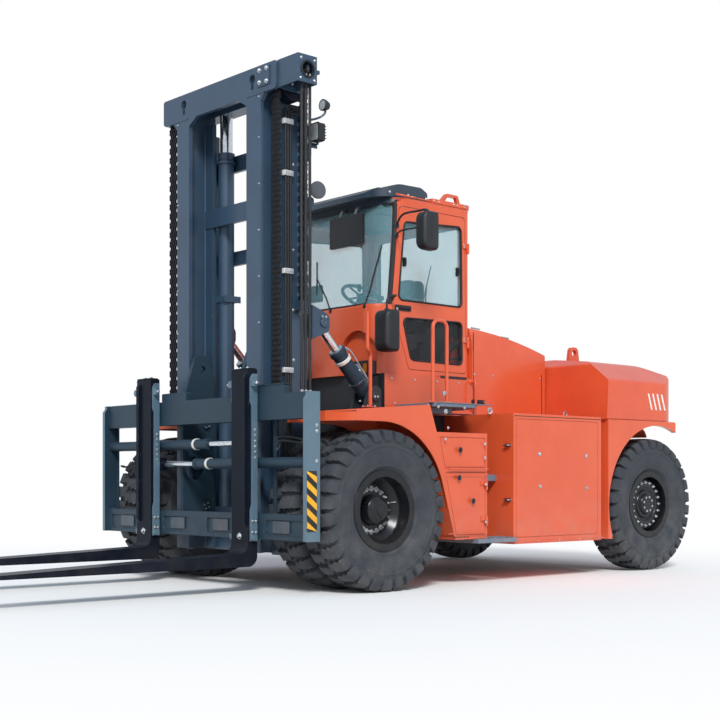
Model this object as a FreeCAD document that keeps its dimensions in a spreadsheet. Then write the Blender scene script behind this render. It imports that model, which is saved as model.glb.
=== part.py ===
import FreeCAD, Part
import math
import os
import re
import Sketcher

Vector = FreeCAD.Vector
Rotation = FreeCAD.Rotation

# Electric forklift, 25 t class. Millimetres, +X towards the forks, +Y to the driver's left, +Z up.
# Every size below is measured from the front axle's centre at floor level; each finished piece is
# then moved along X so that the origin is at the middle of the whole machine.

SIZES = {
    # wheels
    "wheelbase": 3890,
    "tyre_radius": 685,
    "tyre_width": 375,
    "bead_radius": 305,
    "flange_radius": 345,
    "rim_width": 254,
    "rim_wall": 22,
    "rim_lip": 12,
    "front_centre": 1222,
    "twin_pitch": 430,
    "rear_centre": 1312,
    "hub_half": 160,
    "hub_radius": 200,
    "hub_nose": 300,
    "running_gap": 0.3,
    # axles and steering
    "axle_tube": 125,
    "kingpin": 930,
    "kingpin_radius": 80,
    "cheek_half": 205,
    "cheek_plate": 75,
    "steer_back": 240,
    "steer_ram_radius": 75,
    "steer_bar_radius": 36,
    "steer_arm_y": 880,
    "steer_pin": 20,
    # overall reach and body planes
    "rear_reach": 4640,
    "body_half": 1550,
    "hood_half": 750,
    "frame_half": 650,
    "frame_plate": 50,
    "frame_bottom": 400,
    "skin": 12,
    "seat_gap": 0.3,
    "body_top": 1560,
    "box_bottom": 345,
    "weight_gap": 850,
    # front fenders and side cabinets
    "fender_inner": 800,
    "arch_radius": 750,
    "fender_toe": 430,
    "fender_toe_top": 1520,
    "cabinet_top": 1360,
    "cabinet_front": -640,
    "cabinet_heel": -868,
    "cabinet_rear": -1285,
    "cabinet_bottom": 410,
    "well_rear": -1650,
    "door_split": 1010,
    "door_gap": 5,
    "panel": 20,
    "hinge_radius": 12,
    # counterweight
    "weight_bottom": 1545,
    "weight_top": 2200,
    "hood_high": 2456,
    "hood_curve": 5150,
    "keel_half": 400,
    "keel_bottom": 500,
    "eye_x": -3370,
    "eye_y": 850,
    "eye_half": 20,
    "eye_bore": 35,
    "tow_bore": 26,
    "tow_height": 720,
    # mast
    "mast_front": 600,
    "mast_top": 4515,
    "mast_bottom": 290,
    "inner_rail_out": 640,
    "outer_rail_out": 715,
    "rail_plate": 40,
    "crosshead_half": 860,
    "crosshead_height": 239,
    "lift_y": 385,
    "lift_x": 215,
    "lift_radius": 80,
    "lift_bar": 60,
    "chain_y": 785,
    "chain_width": 120,
    "chain_plate": 15,
    "sheave_x": 390,
    "sheave_drop": 175,
    "sheave_radius": 140,
    "sheave_pin": 35,
    "hose_y": 1080,
    # carriage and forks
    "carriage_back": 700,
    "carriage_front": 800,
    "carriage_half": 1560,
    "carriage_low": 445,
    "carriage_high": 1655,
    "carriage_bar": 215,
    "roller_radius": 105,
    "ram_x": 750,
    "ram_radius": 45,
    "ram_bar": 28,
    "ram_overlap": 100,
    "ram_high": 1260,
    "ram_low": 1085,
    "fork_face": 895,
    "fork_length": 2440,
    "fork_thick": 95,
    "fork_y": 742,
    "fork_width": 236,
    "fork_under": 215,
    "fork_heel": 110,
    "fork_tip": 25,
    "fork_top": 1870,
    # tilt cylinders
    "tilt_y": 700,
    "tilt_eye_x": 0,
    "tilt_eye_z": 2330,
    "tilt_anchor_x": -600,
    "tilt_anchor_z": 1700,
    "tilt_pin": 28,
    "tilt_eye_play": 26,
    "tilt_barrel": 70,
    "tilt_bar": 40,
    # cab
    "cab_half": 720,
    "cab_front": -690,
    "cab_rear": -1940,
    "cab_floor": 1930,
    "belt": 2560,
    "cab_roof": 3600,
    "screen_lean": 210,
    "cab_wall": 45,
    "glass": 8,
    "door_front": -878,
    "door_rear": -1880,
    "door_low": 1985,
    "door_high": 3510,
}

doc = FreeCAD.newDocument("electric_forklift")
sheet = doc.addObject("Spreadsheet::Sheet", "Sizes")
for row, (alias, value) in enumerate(SIZES.items(), start=1):
    sheet.set(f"A{row}", alias)
    sheet.set(f"B{row}", str(value))
    sheet.setAlias(f"B{row}", alias)
doc.recompute()

# The front axle's distance from the middle of the whole machine.
SHIFT = "(rear_reach - fork_face - fork_length) / 2"
pieces = []


def bound(text):
    """Write the sheet's name before each alias in an expression."""
    return re.sub(r"[a-z][a-z_0-9]*", lambda word: "Sizes." + word[0] if word[0] in SIZES else word[0], str(text))


def number(text):
    return float(sheet.evalExpression(bound(text)))


def bind(item, path, text):
    item.setExpression(path, bound(text))


def at(item, x=0, y=0, z=0):
    for axis, text in zip("xyz", (x, y, z)):
        bind(item, "Placement.Base." + axis, text)
    return item


def block(name, x, y, z):
    """A box from pairs of low and high values."""
    box = doc.addObject("Part::Box", name)
    for size, (low, high) in zip(("Length", "Width", "Height"), (x, y, z)):
        bind(box, size, f"({high}) - ({low})")
    return at(box, x[0], y[0], z[0])


TURN = {
    "x": Rotation(Vector(0, 1, 0), 90),
    "y": Rotation(Vector(1, 0, 0), -90),
    "z": Rotation(),
}


def rod(name, axis, start, radius, length):
    """A round bar from its start point along +X, +Y or +Z."""
    bar = doc.addObject("Part::Cylinder", name)
    bar.Placement = FreeCAD.Placement(Vector(), TURN[axis])
    bind(bar, "Radius", radius)
    bind(bar, "Height", length)
    return at(bar, *start)


def pipe(name, axis, start, radius, bore, length):
    outer = rod(name + "_outer", axis, start, radius, length)
    inner = rod(name + "_inner", axis, start, bore, length)
    return cut(name, outer, inner)


def fuse(name, *items):
    joined = doc.addObject("Part::MultiFuse", name)
    joined.Shapes = list(items)
    joined.Refine = True
    return joined


def cut(name, base, *tools):
    for count, tool in enumerate(tools):
        step = doc.addObject("Part::Cut", f"{name}_{count}" if count < len(tools) - 1 else name)
        step.Base = base
        step.Tool = tool
        base = step
    return base


def common(name, *items):
    shared = doc.addObject("Part::MultiCommon", name)
    shared.Shapes = list(items)
    return shared


def mirrored(item):
    """The same piece on the machine's other side."""
    copy = doc.addObject("Part::Mirroring", item.Name + "_mirrored")
    copy.Source = item
    copy.Normal = Vector(0, 1, 0)
    return copy


def both(*items):
    return [side for item in items for side in (item, mirrored(item))]


def group(name, *items):
    members = doc.addObject("Part::Compound", name)
    members.Links = list(items)
    return members


def piece(label, *items):
    """A finished sub-part, in a node of its own."""
    node = doc.addObject("Part::Compound", label)
    node.Label = label
    node.Links = list(items)
    at(node, SHIFT)
    pieces.append(node)
    return node


def pair(label, item):
    """The left and the right copy of a sub-part, each in a node of its own."""
    piece(label + "_left", item)
    piece(label + "_right", mirrored(item))


PLANES = {"xy": ("XY_Plane", 0, 1), "xz": ("XZ_Plane", 0, 2), "yz": ("YZ_Plane", 1, 2)}


def sketch(body, plane, offset, points):
    """Closed straight runs in the body's own xy, xz or yz plane, moved off it by the offset."""
    drawing = body.newObject("Sketcher::SketchObject", body.Name + "_sketch")
    origin = [item for item in body.Origin.OriginFeatures if item.Role == PLANES[plane][0]][0]
    drawing.AttachmentSupport = [(origin, "")]
    drawing.MapMode = "FlatFace"
    bind(drawing, "AttachmentOffset.Base.z", offset)
    corners = [Vector(number(point[0]), number(point[1]), 0) for point in points]
    for start, end in zip(corners, corners[1:] + corners[:1]):
        drawing.addGeometry(Part.LineSegment(start, end), False)
    for index, (corner, point) in enumerate(zip(corners, points)):
        drawing.addConstraint(Sketcher.Constraint("Coincident", index, 2, (index + 1) % len(points), 1))
        for kind, place, text in (("DistanceX", corner.x, point[0]), ("DistanceY", corner.y, point[1])):
            size = drawing.addConstraint(Sketcher.Constraint(kind, -1, 1, index, 1, place))
            bind(drawing, f"Constraints[{size}]", text)
    return drawing


def rounded(body, form, points, matches):
    """Fillet the edges that stand on the outline's points with a third value, their corner radius."""
    radii = dict.fromkeys(point[2] for point in points if len(point) > 2)
    for count, radius in enumerate(radii):
        form.recompute()
        spots = [(number(point[0]), number(point[1])) for point in points if point[2:] == (radius,)]
        names = [f"Edge{place}" for place, edge in enumerate(form.Shape.Edges, start=1)
                 if any(matches(edge, *spot) for spot in spots)]
        fillet = body.newObject("PartDesign::Fillet", f"{body.Name}_fillet_{count}")
        fillet.Base = (form, names)
        bind(fillet, "Radius", radius)
        form = fillet
    body.Tip = form
    return body


def slab(name, plane, points, low, high, lean=None):
    """An outline (across, up[, corner radius]) filled from low to high along the third axis."""
    body = doc.addObject("PartDesign::Body", name)
    start = f"-({high})" if plane == "xz" else low
    drawing = sketch(body, plane, start, points)
    drawing.recompute()
    pad = body.newObject("PartDesign::Pad", name + "_pad")
    pad.Profile = drawing
    bind(pad, "Length", f"({high}) - ({low})")
    if lean:
        pad.UseCustomVector = True
        pad.Direction = Vector(0, 0, 1)
        bind(pad, "Direction.x", lean)
        bind(pad, "Direction.z", f"({high}) - ({low})")
    across, up = PLANES[plane][1:]

    def matches(edge, right, rise):
        spot = edge.Vertexes[0].Point
        ends = edge.Vertexes[-1].Point
        upright = abs(ends[3 - across - up] - spot[3 - across - up]) > 1
        foot = min(spot, ends, key=lambda point: point[3 - across - up])
        return upright and abs(foot[across] - right) < 0.01 and abs(foot[up] - rise) < 0.01

    return rounded(body, pad, points, matches)


def turned(name, points):
    """An outline of (along, radius[, corner radius]) points turned about the Y axis."""
    body = doc.addObject("PartDesign::Body", name)
    drawing = sketch(body, "yz", 0, points)
    drawing.recompute()
    spin = body.newObject("PartDesign::Revolution", name + "_spin")
    spin.Profile = drawing
    spin.ReferenceAxis = (drawing, ["H_Axis"])
    spin.Angle = 360

    def matches(edge, along, radius):
        circle = edge.Curve
        return isinstance(circle, Part.Circle) and abs(circle.Center.y - along) < 0.01 and abs(circle.Radius - radius) < 0.01

    return rounded(body, spin, points, matches)


def both_ways(points):
    """A half outline, from the middle line outwards, completed on the other side of it."""
    return points + [(f"-({point[0]})",) + tuple(point[1:]) for point in reversed(points)]


# ---------------------------------------------------------------- wheels

SEAT = "rim_width / 2"
TREAD = "tyre_width / 2"


def tyre(name):
    """A heavy tyre without its tread, about its own centre."""
    side = [
        (SEAT, "bead_radius"),
        (SEAT, "flange_radius + 6"),
        (f"{TREAD} - 12", "bead_radius + 110", 60),
        (TREAD, "tyre_radius - 190", 80),
        (TREAD, "tyre_radius - 70", 40),
        (f"{TREAD} - 36", "tyre_radius", 26),
    ]
    return turned(name, both_ways(side))


def rim(name, disc):
    """A rim with a flange at each bead and a dished disc."""
    side = [
        (f"{SEAT} + rim_lip", "bead_radius - rim_wall"),
        (f"{SEAT} + rim_lip", "flange_radius", 5),
        (f"{SEAT} + 1", "flange_radius", 5),
        (SEAT, "bead_radius"),
    ]
    barrel = turned(name + "_barrel", both_ways(side))
    return fuse(name, barrel, turned(name + "_disc", disc))


def front_wheels():
    """Twin wheels on each side, with the planetary hub that carries both."""
    outer, inner = "front_centre + twin_pitch / 2", "front_centre - twin_pitch / 2"
    dish = [(-60, 150), (-36, 150), (-36, 215), (20, 270), (20, "bead_radius - 15"), (-4, "bead_radius - 15"), (-60, 225)]
    back_dish = [(f"-({along})", radius) for along, radius in reversed(dish)]
    outer_rim = at(rim("outer_rim", dish), 0, outer, "tyre_radius")
    inner_rim = at(rim("inner_rim", back_dish), 0, inner, "tyre_radius")
    hub = at(turned("front_hub", [
        ("-hub_half", 0),
        ("-hub_half", "hub_radius - 10", 12),
        ("-hub_half + 45", "hub_radius + 15", 12),
        ("hub_half - 30", "hub_radius + 15", 12),
        ("hub_half", "hub_radius - 30", 14),
        ("hub_half + 15", "hub_radius - 65", 10),
        ("hub_nose - 30", "hub_radius - 75", 18),
        ("hub_nose", "hub_radius - 120", 14),
        ("hub_nose", 0),
    ]), 0, "front_centre", "tyre_radius")
    pair("front_tyres", group("front_tyres", at(tyre("outer_tyre"), 0, outer, "tyre_radius"),
                              at(tyre("inner_tyre"), 0, inner, "tyre_radius")))
    pair("front_rims", fuse("front_wheel", outer_rim, inner_rim, hub))


def rear_wheels():
    disc = [(-110, 0), (-110, 150), (-86, 215), (-20, 270), (-20, "bead_radius - 15"), (-44, "bead_radius - 15"),
            (-110, 240), (-130, 215), (-135, 165), (-135, 0)]
    pair("rear_tyre", at(tyre("rear_tyre"), "-wheelbase", "rear_centre", "tyre_radius"))
    pair("rear_rim", at(rim("rear_rim", disc), "-wheelbase", "rear_centre", "tyre_radius"))


# ---------------------------------------------------------------- axles and steering

def drive_axle():
    """A casing that swells round the differential, with necks that the mast hangs on."""
    end = "front_centre - hub_half - running_gap"
    casing = turned("axle_casing", both_ways([
        (end, 0),
        (end, "hub_radius - 60"),
        (f"{end} - 24", "hub_radius - 60"),
        (f"{end} - 24", "hub_radius - 15"),
        (f"{end} - 60", "hub_radius - 15", 10),
        (f"{end} - 90", 150, 10),
        ("outer_rail_out + 80", 150),
        ("outer_rail_out + 60", "axle_tube"),
        (295, "axle_tube"),
        (285, 190, 20),
        (190, 250, 50),
    ]))
    motor = fuse("drive_motor", rod("motor_can", "x", (-900, 0, 60), 215, 640), rod("motor_bell", "x", (-330, 0, 60), 235, 130),
                 rod("motor_cap", "x", (-935, 0, 60), 150, 40))
    saddle = slab("saddle", "xz", [(-150, -110, 20), (60, -110, 20), (60, 200), (-150, 200)],
                  "-frame_half + frame_plate + 40", "frame_half - frame_plate - 40")
    piece("drive_axle", at(fuse("drive_axle_solid", casing, motor, saddle), 0, 0, "tyre_radius"))


def steer_axle():
    """A beam that carries a forked end for each knuckle, about the rear axle's centre."""
    beam = slab("steer_beam", "yz", both_ways([
        (320, 170, 60), (600, 115), (600, -60, 20), (320, -110, 60)]), -50, 150)
    cheek = [(-105, 545, 30), (-105, "kingpin + 90", 70), (105, "kingpin + 90", 70), (150, 545, 30)]
    high = slab("cheek_high", "xy", cheek, "cheek_half - cheek_plate", "cheek_half")
    low = slab("cheek_low", "xy", cheek, "-cheek_half", "-cheek_half + cheek_plate")
    web = block("cheek_web", (-50, 150), (545, 605), ("-cheek_half", "cheek_half"))
    caps = [rod("kingpin_cap", "z", (0, "kingpin", "cheek_half"), 55, 20),
            rod("kingpin_foot", "z", (0, "kingpin", "-cheek_half - 20"), 55, 20)]
    trunnion = rod("trunnion_bore", "x", (-60, 0, 55), 45.3, 220)
    solid = cut("steer_axle_solid", fuse("steer_axle_closed", beam, *both(high, low, web, *caps)), trunnion)
    piece("steer_axle", at(solid, "-wheelbase", 0, "tyre_radius"))


def steering():
    """A double-ended ram behind the beam turns both knuckles through links."""
    back = "-wheelbase - steer_back"
    barrel = rod("steer_barrel", "y", (back, -300, "tyre_radius"), "steer_ram_radius", 600)
    heads = both(rod("steer_head", "y", (back, 262, "tyre_radius"), "steer_ram_radius + 10", 38))
    feet = both(block("steer_foot", (f"{back} - 30", "-wheelbase - 50 - seat_gap"), (170, 230),
                      ("tyre_radius - 50", "tyre_radius + 50")))
    bore = rod("steer_bore", "y", (back, -300, "tyre_radius"), "steer_bar_radius + 0.05", 600)
    piece("steer_ram", cut("steer_cylinder", fuse("steer_cylinder_closed", barrel, *heads, *feet), bore))
    bar = rod("steer_bar", "y", (back, -560, "tyre_radius"), "steer_bar_radius", 1120)
    pads = both(slab("steer_pad", "xy", [(f"{back} - 40", 500, 12), (f"{back} - 40", 590, 12),
                                         (f"{back} + 40", 590, 12), (f"{back} + 40", 500, 12)],
                     "tyre_radius - 85", "tyre_radius + 20"))
    piece("steer_rod", fuse("steer_rod_solid", bar, *pads))
    post = rod("knuckle_post", "z", ("-wheelbase", "kingpin", "tyre_radius - cheek_half + cheek_plate + running_gap"),
               "kingpin_radius", "2 * (cheek_half - cheek_plate - running_gap)")
    spindle = rod("spindle", "y", ("-wheelbase", "kingpin", "tyre_radius"), 90, "rear_centre - kingpin - 135 - running_gap")
    drum = rod("drum", "y", ("-wheelbase", "rear_centre - 165", "tyre_radius"), 140, "30 - running_gap")
    arm = slab("steer_arm", "xy", [
        (f"{back} - 32", "steer_arm_y - 32", 30), (f"{back} - 32", "steer_arm_y + 32", 30),
        ("-wheelbase - 60", "kingpin + 60", 20), ("-wheelbase", "kingpin - 60", 10)],
        "tyre_radius - 85", "tyre_radius - 45")
    arm_pin = rod("steer_arm_pin", "z", (back, "steer_arm_y", "tyre_radius - 122"), "steer_pin", 45)
    pair("knuckle", fuse("knuckle", post, spindle, drum, arm, arm_pin))
    link = slab("link", "xy", [(f"{back} - 34", 545 - 40, 30), (f"{back} - 34", "steer_arm_y + 34", 30),
                               (f"{back} + 34", "steer_arm_y + 34", 30), (f"{back} + 34", 545 - 40, 30)],
                "tyre_radius - 120", "tyre_radius - 85 - running_gap")
    arm_hole = rod("link_hole", "z", (back, "steer_arm_y", "tyre_radius - 130"), "steer_pin + 0.05", 60)
    pin_head = rod("link_pin_head", "z", (back, 545, "tyre_radius - 134"), "steer_pin + 8", 15)
    pair("steer_link", cut("link_solid", fuse("link_closed", link, pin_head), arm_hole))


# ---------------------------------------------------------------- chassis

FRAME_REAR = "-wheelbase + weight_gap + 55"
BOX_REAR = "-wheelbase + weight_gap + 90"


def chassis_frame():
    """Two side plates with cross walls, a deck at the front and a spine back to the steer axle."""
    side = slab("side_plate", "xz", [
        (85, 480, 30), (85, 870, 80), (-160, 1000), (-160, "body_top"), (FRAME_REAR, "body_top"),
        (FRAME_REAR, "frame_bottom", 60), (-700, "frame_bottom", 120), (-300, 480, 80)],
        "frame_half - frame_plate", "frame_half")
    neck = rod("axle_neck", "y", (0, -1000, "tyre_radius"), "axle_tube + seat_gap", 2000)
    inside = ("-frame_half + frame_plate", "frame_half - frame_plate")
    front_wall = block("front_wall", (-220, -170), inside, (1000, "body_top"))
    mid_wall = block("mid_wall", (-1420, -1360), inside, ("frame_bottom", "body_top"))
    rear_wall = block("rear_wall", (FRAME_REAR, f"{FRAME_REAR} + 50"), inside, ("frame_bottom", "body_top"))
    floor = block("floor_plate", (FRAME_REAR, -1360), inside, ("frame_bottom", "frame_bottom + 30"))
    deck = block("deck_plate", (-759, -160), ("-fender_inner + 1", "fender_inner - 1"), ("body_top - 20", "body_top"))
    top = "tyre_radius + 170 + seat_gap"
    spine = slab("spine", "xz", [(FRAME_REAR, "weight_bottom - seat_gap"), (FRAME_REAR, top), ("-wheelbase - 420", top),
                                 ("-wheelbase - 420", "weight_bottom - seat_gap")], -380, 380)
    spine_room = block("spine_room", ("-wheelbase - 380", f"{FRAME_REAR} + 60"), (-330, 330), (f"{top} + 60", "body_top"))
    lugs = [block("front_lug", ("-wheelbase + 150 + seat_gap", "-wheelbase + 215"), (-110, 110), ("tyre_radius - 30", f"{top} + 10")),
            block("rear_lug", ("-wheelbase - 112", "-wheelbase - 50 - seat_gap"), (-110, 110), ("tyre_radius - 30", f"{top} + 10"))]
    pin = rod("trunnion_pin", "x", ("-wheelbase - 112", 0, "tyre_radius + 55"), 45, 327)
    lighten = [rod(f"lighten_{place}", "y", (f"-1890 - {place} * 700", -1000, 980), 210, 2000) for place in (0, 1)]
    solid = fuse("frame_closed", *both(side), front_wall, mid_wall, rear_wall, floor, deck, cut("spine_open", spine, spine_room), *lugs, pin)
    piece("chassis_frame", cut("chassis_frame_solid", solid, neck, *lighten))
    piece("battery_pack", block("battery", (f"{FRAME_REAR} + 100", -1480), (-560, 560), ("frame_bottom + 30", 1500)))


ARCH_LEAN = 17.1


def front_fender():
    """An open-bottomed skin over the twin wheels, its arch running into a straight leg and a level toe."""
    top_rear, leg = "body_top + 37", "cabinet_heel + 6"

    def side(name, inset, low, high):
        return slab(name, "xz", [
            (f"fender_toe - {inset}", 1000), (f"fender_toe - {inset}", f"fender_toe_top - {inset}"),
            (f"-555 - {inset}", f"{top_rear} - {inset}"), (f"cabinet_front + seat_gap + {inset}", f"cabinet_top - {inset}"),
            (f"cabinet_heel + seat_gap + {inset}", "cabinet_bottom"), (f"{leg} + 20 - {inset}", "cabinet_bottom"), (0, 900)], low, high)

    closed = side("fender_form", 0, "fender_inner", "body_half")
    room = side("fender_room", "skin", "fender_inner + skin", "body_half - skin")
    wheel_room = rod("arch_round", "y", (0, 700, "tyre_radius"), "arch_radius", 1000)
    leg_room = slab("arch_leg", "xz", [
        ("cabinet_heel - 20", "cabinet_bottom - 10"), ("cabinet_heel - 20", "cabinet_bottom + 24"),
        ("cabinet_heel + 6", "cabinet_bottom + 24"),
        (f"-arch_radius * cos({ARCH_LEAN})", f"tyre_radius + arch_radius * sin({ARCH_LEAN})"),
        (0, "tyre_radius"), (0, "cabinet_bottom - 10")], 700, 1700)
    toe_room = block("arch_toe", (0, 600), (700, 1700), (300, "tyre_radius + arch_radius"))
    corner = slab("toe_corner", "xy", [(283, "body_half"), ("fender_toe", "body_half - 250"), (900, "body_half - 250"),
                                       (900, "body_half + 200"), (283, "body_half + 200")], 300, 1800)
    corner_skin = slab("toe_corner_skin", "xy", [
        (283, "body_half"), ("fender_toe", "body_half - 250"), ("fender_toe", "body_half - 270"), (270, "body_half - 16"),
        (270, "body_half")], "tyre_radius + arch_radius", "fender_toe_top - 10")
    shell = cut("fender_shell", closed, room, wheel_room, leg_room, toe_room)
    return cut("front_fender", fuse("fender_faced", shell, corner_skin), corner)


def rear_fender():
    """The skin over the steered wheel, below the counterweight, with a return at its front edge."""
    front = "-wheelbase + weight_gap - 25"
    side = slab("rear_skin", "xz", [
        (front, "box_bottom + 5"), (front, "weight_bottom - seat_gap"), ("-wheelbase - 300", "weight_bottom - seat_gap"),
        ("-wheelbase - 500", "weight_bottom - 120"), ("-wheelbase - 500", "box_bottom + 5")], "body_half - skin - 2", "body_half - 2")
    returned = block("rear_return", (f"{front} - skin", front), ("body_half - 120", "body_half - 2"),
                     ("box_bottom + 5", "weight_bottom - seat_gap"))
    lip = pipe("rear_lip", "y", ("-wheelbase", "body_half - 50", "tyre_radius"), "arch_radius + 65 + skin", "arch_radius + 65", 48)
    lip_room = block("rear_lip_room", ("-wheelbase - 320", front), (1300, 1700), ("box_bottom + 5", "weight_bottom - 30"))
    wheel_room = rod("rear_arch", "y", ("-wheelbase", 1300, "tyre_radius"), "arch_radius + 65", 400)
    behind = block("rear_behind", ("-wheelbase - 600", "-wheelbase - 320"), (1300, 1700), (200, 1800))
    low_room = block("rear_low", ("-wheelbase - 600", "-wheelbase + arch_radius + 10"), (1300, 1700), (200, "tyre_radius - 200"))
    solid = fuse("rear_fender_closed", side, returned, common("rear_lip_part", lip, lip_room))
    return cut("rear_fender", solid, wheel_room, behind, low_room)


def fenders():
    piece("fenders", *both(front_fender(), rear_fender()))


def leaning_panel(name, low, high, margin, inner, outer):
    """A panel between the cabinet's leaning front edge and its rear edge."""
    slope = "(cabinet_front - cabinet_heel) / (cabinet_top - cabinet_bottom)"
    return slab(name, "xz", [
        (f"cabinet_heel + ({low} - cabinet_bottom) * {slope} - 25 - ({margin})", f"{low} + ({margin})", 8),
        (f"cabinet_heel + ({high} - cabinet_bottom) * {slope} - 25 - ({margin})", f"{high} - ({margin})", 8),
        (f"cabinet_rear + 25 + ({margin})", f"{high} - ({margin})", 8),
        (f"cabinet_rear + 25 + ({margin})", f"{low} + ({margin})", 8)], inner, outer)


def side_cabinets():
    """Hollow cabinets behind the front wheels: a hinged door below, a bolted cover above."""
    form = [("cabinet_front", "cabinet_top"), ("cabinet_heel", "cabinet_bottom"), ("cabinet_rear", "cabinet_bottom"),
            ("cabinet_rear", "cabinet_top")]
    room_form = [("cabinet_front - 2 * skin", "cabinet_top - skin"), ("cabinet_heel - 2 * skin", "cabinet_bottom + skin"),
                 ("cabinet_rear + skin", "cabinet_bottom + skin"), ("cabinet_rear + skin", "cabinet_top - skin")]
    closed = slab("cabinet_form", "xz", form, "frame_half + seat_gap", "body_half")
    room = slab("cabinet_room", "xz", room_form, "frame_half + skin", "body_half - panel - skin")
    rabbet = leaning_panel("door_rabbet", "cabinet_bottom + 40", "door_split", 0, "body_half - panel - seat_gap", "body_half + 10")
    mouth = leaning_panel("door_mouth", "cabinet_bottom + 40", "door_split", 24, "body_half - 80", "body_half + 10")
    groove = cut("cover_groove",
                 leaning_panel("cover_out", "door_split + 40", "cabinet_top - 40", 0, "body_half - 6", "body_half + 10"),
                 leaning_panel("cover_in", "door_split + 40", "cabinet_top - 40", 6, "body_half - 20", "body_half + 20"))
    heights = ("cabinet_bottom + 120", "door_split - 160")
    pin_x, pin_y = "cabinet_rear + 20", "body_half + hinge_radius"
    knuckles = [rod(f"cabinet_knuckle_{height}", "z", (pin_x, pin_y, height), "hinge_radius", 40) for height in heights]
    ears = [block(f"cabinet_ear_{height}", (f"{pin_x} - 10", f"{pin_x} + 4"), ("body_half - 5", pin_y), (height, f"{height} + 40"))
            for height in heights]
    piece("side_cabinets", *both(fuse("cabinet_hinged", cut("cabinet", closed, room, rabbet, mouth, groove), *knuckles, *ears)))
    leaf = leaning_panel("cabinet_leaf", "cabinet_bottom + 40", "door_split", "door_gap", "body_half - panel", "body_half")
    pan = leaning_panel("cabinet_pan", "cabinet_bottom + 40", "door_split", "door_gap + 40", "body_half - panel - 1", "body_half - 6")
    hinges = []
    for height in heights:
        low, high = f"{height} + 40 + seat_gap", f"{height} + 80"
        hinges.append(rod(f"cabinet_barrel_{height}", "z", (pin_x, pin_y, low), "hinge_radius", 40))
        hinges.append(block(f"cabinet_strap_{height}", (pin_x, f"{pin_x} + 70"), ("body_half + 2", "body_half + 8"), (low, high)))
        hinges.append(block(f"cabinet_pad_{height}", (f"{pin_x} + 20", f"{pin_x} + 70"), ("body_half - 2", "body_half + 4"), (low, high)))
    pair("cabinet_door", fuse("cabinet_door", cut("cabinet_leaf_open", leaf, pan), *hinges))


def battery_boxes():
    """Closed side boxes with a bolted cover and a bevelled rear corner."""
    form = slab("box_form", "xy", [("well_rear", "frame_half + seat_gap"), ("well_rear", "body_half", 10), (BOX_REAR, "body_half", 30),
                                   (f"{BOX_REAR} - 45", "body_half - 60"), (f"{BOX_REAR} - 45", "frame_half + seat_gap")],
                "box_bottom", "body_top")
    cover = [("well_rear - 30", "box_bottom + 60", 20), ("well_rear - 30", "body_top - 50", 20),
             (f"{BOX_REAR} + 60", "body_top - 50", 20), (f"{BOX_REAR} + 60", "box_bottom + 60", 20)]
    inner = [("well_rear - 35", "box_bottom + 65", 15), ("well_rear - 35", "body_top - 55", 15),
             (f"{BOX_REAR} + 65", "body_top - 55", 15), (f"{BOX_REAR} + 65", "box_bottom + 65", 15)]
    groove = cut("box_groove", slab("box_cover", "xz", cover, "body_half - 5", "body_half + 5"),
                 slab("box_cover_in", "xz", inner, "body_half - 10", "body_half + 10"))
    piece("battery_boxes", *both(cut("box", form, groove)))


def steps():
    """The tread plates and the platform by the cab."""
    bars = [block(f"tread_{count}", ("well_rear + seat_gap", "cabinet_rear + 145"),
                  (f"body_half - 310 + {count} * 70", f"body_half - 290 + {count} * 70"), (374, 404)) for count in range(5)]
    ends = [block(f"tread_end_{side}", (low, f"{low} + 14"), ("frame_half + seat_gap", "body_half + 20"), (370, 409.7))
            for side, low in (("front", "cabinet_rear + 145"), ("middle", "cabinet_rear - 180"), ("rear", "well_rear + seat_gap"))]
    nosing = block("tread_nosing", ("well_rear + seat_gap", "cabinet_rear + 159"), ("body_half + 20", "body_half + 36"), (370, 409.7))
    ladder = fuse("low_step", *ends, nosing, *bars)
    middle = fuse("middle_step", block("middle_plate", ("well_rear + seat_gap", "cabinet_rear - seat_gap"),
                                       ("frame_half + seat_gap", "body_half - 220"), (960, 985)),
                  block("middle_nosing", ("well_rear + seat_gap", "cabinet_rear - seat_gap"),
                        ("body_half - 232", "body_half - 220"), (930, 960)))
    platform = slab("platform", "xy", [
        (-890, "hood_half + seat_gap"), (-890, "body_half - 250", 60), (-1420, "body_half - 250", 60), (-1620, "hood_half + 180", 40),
        (-1620, "hood_half + seat_gap")], "body_top + 45", "body_top + 80")
    plinth = block("platform_plinth", (-1380, -940), ("hood_half + seat_gap", "hood_half + 260"), ("body_top", "body_top + 45"))
    piece("steps", *both(ladder, middle, fuse("platform_solid", platform, plinth)))


# ---------------------------------------------------------------- hood and counterweight

WEIGHT_FRONT = "-wheelbase + weight_gap"


def hood():
    """A housing whose crowned top falls towards the counterweight."""
    tail = f"{WEIGHT_FRONT} + 2"
    box = block("hood_box", (tail, "cab_rear - seat_gap"), ("-hood_half", "hood_half"), ("body_top + seat_gap", "hood_high + 100"))
    section = slab("hood_section", "yz", both_ways([("hood_half - 40", "hood_high + 40", 160), ("hood_half", "hood_high - 250", 60),
                                                    ("hood_half", "body_top")]), tail, "cab_rear - seat_gap")
    crown = rod("hood_crown", "y", ("cab_rear + 410", -1000, "hood_high - hood_curve"), "hood_curve", 2000)
    piece("hood", common("hood_solid", box, section, crown))


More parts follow.
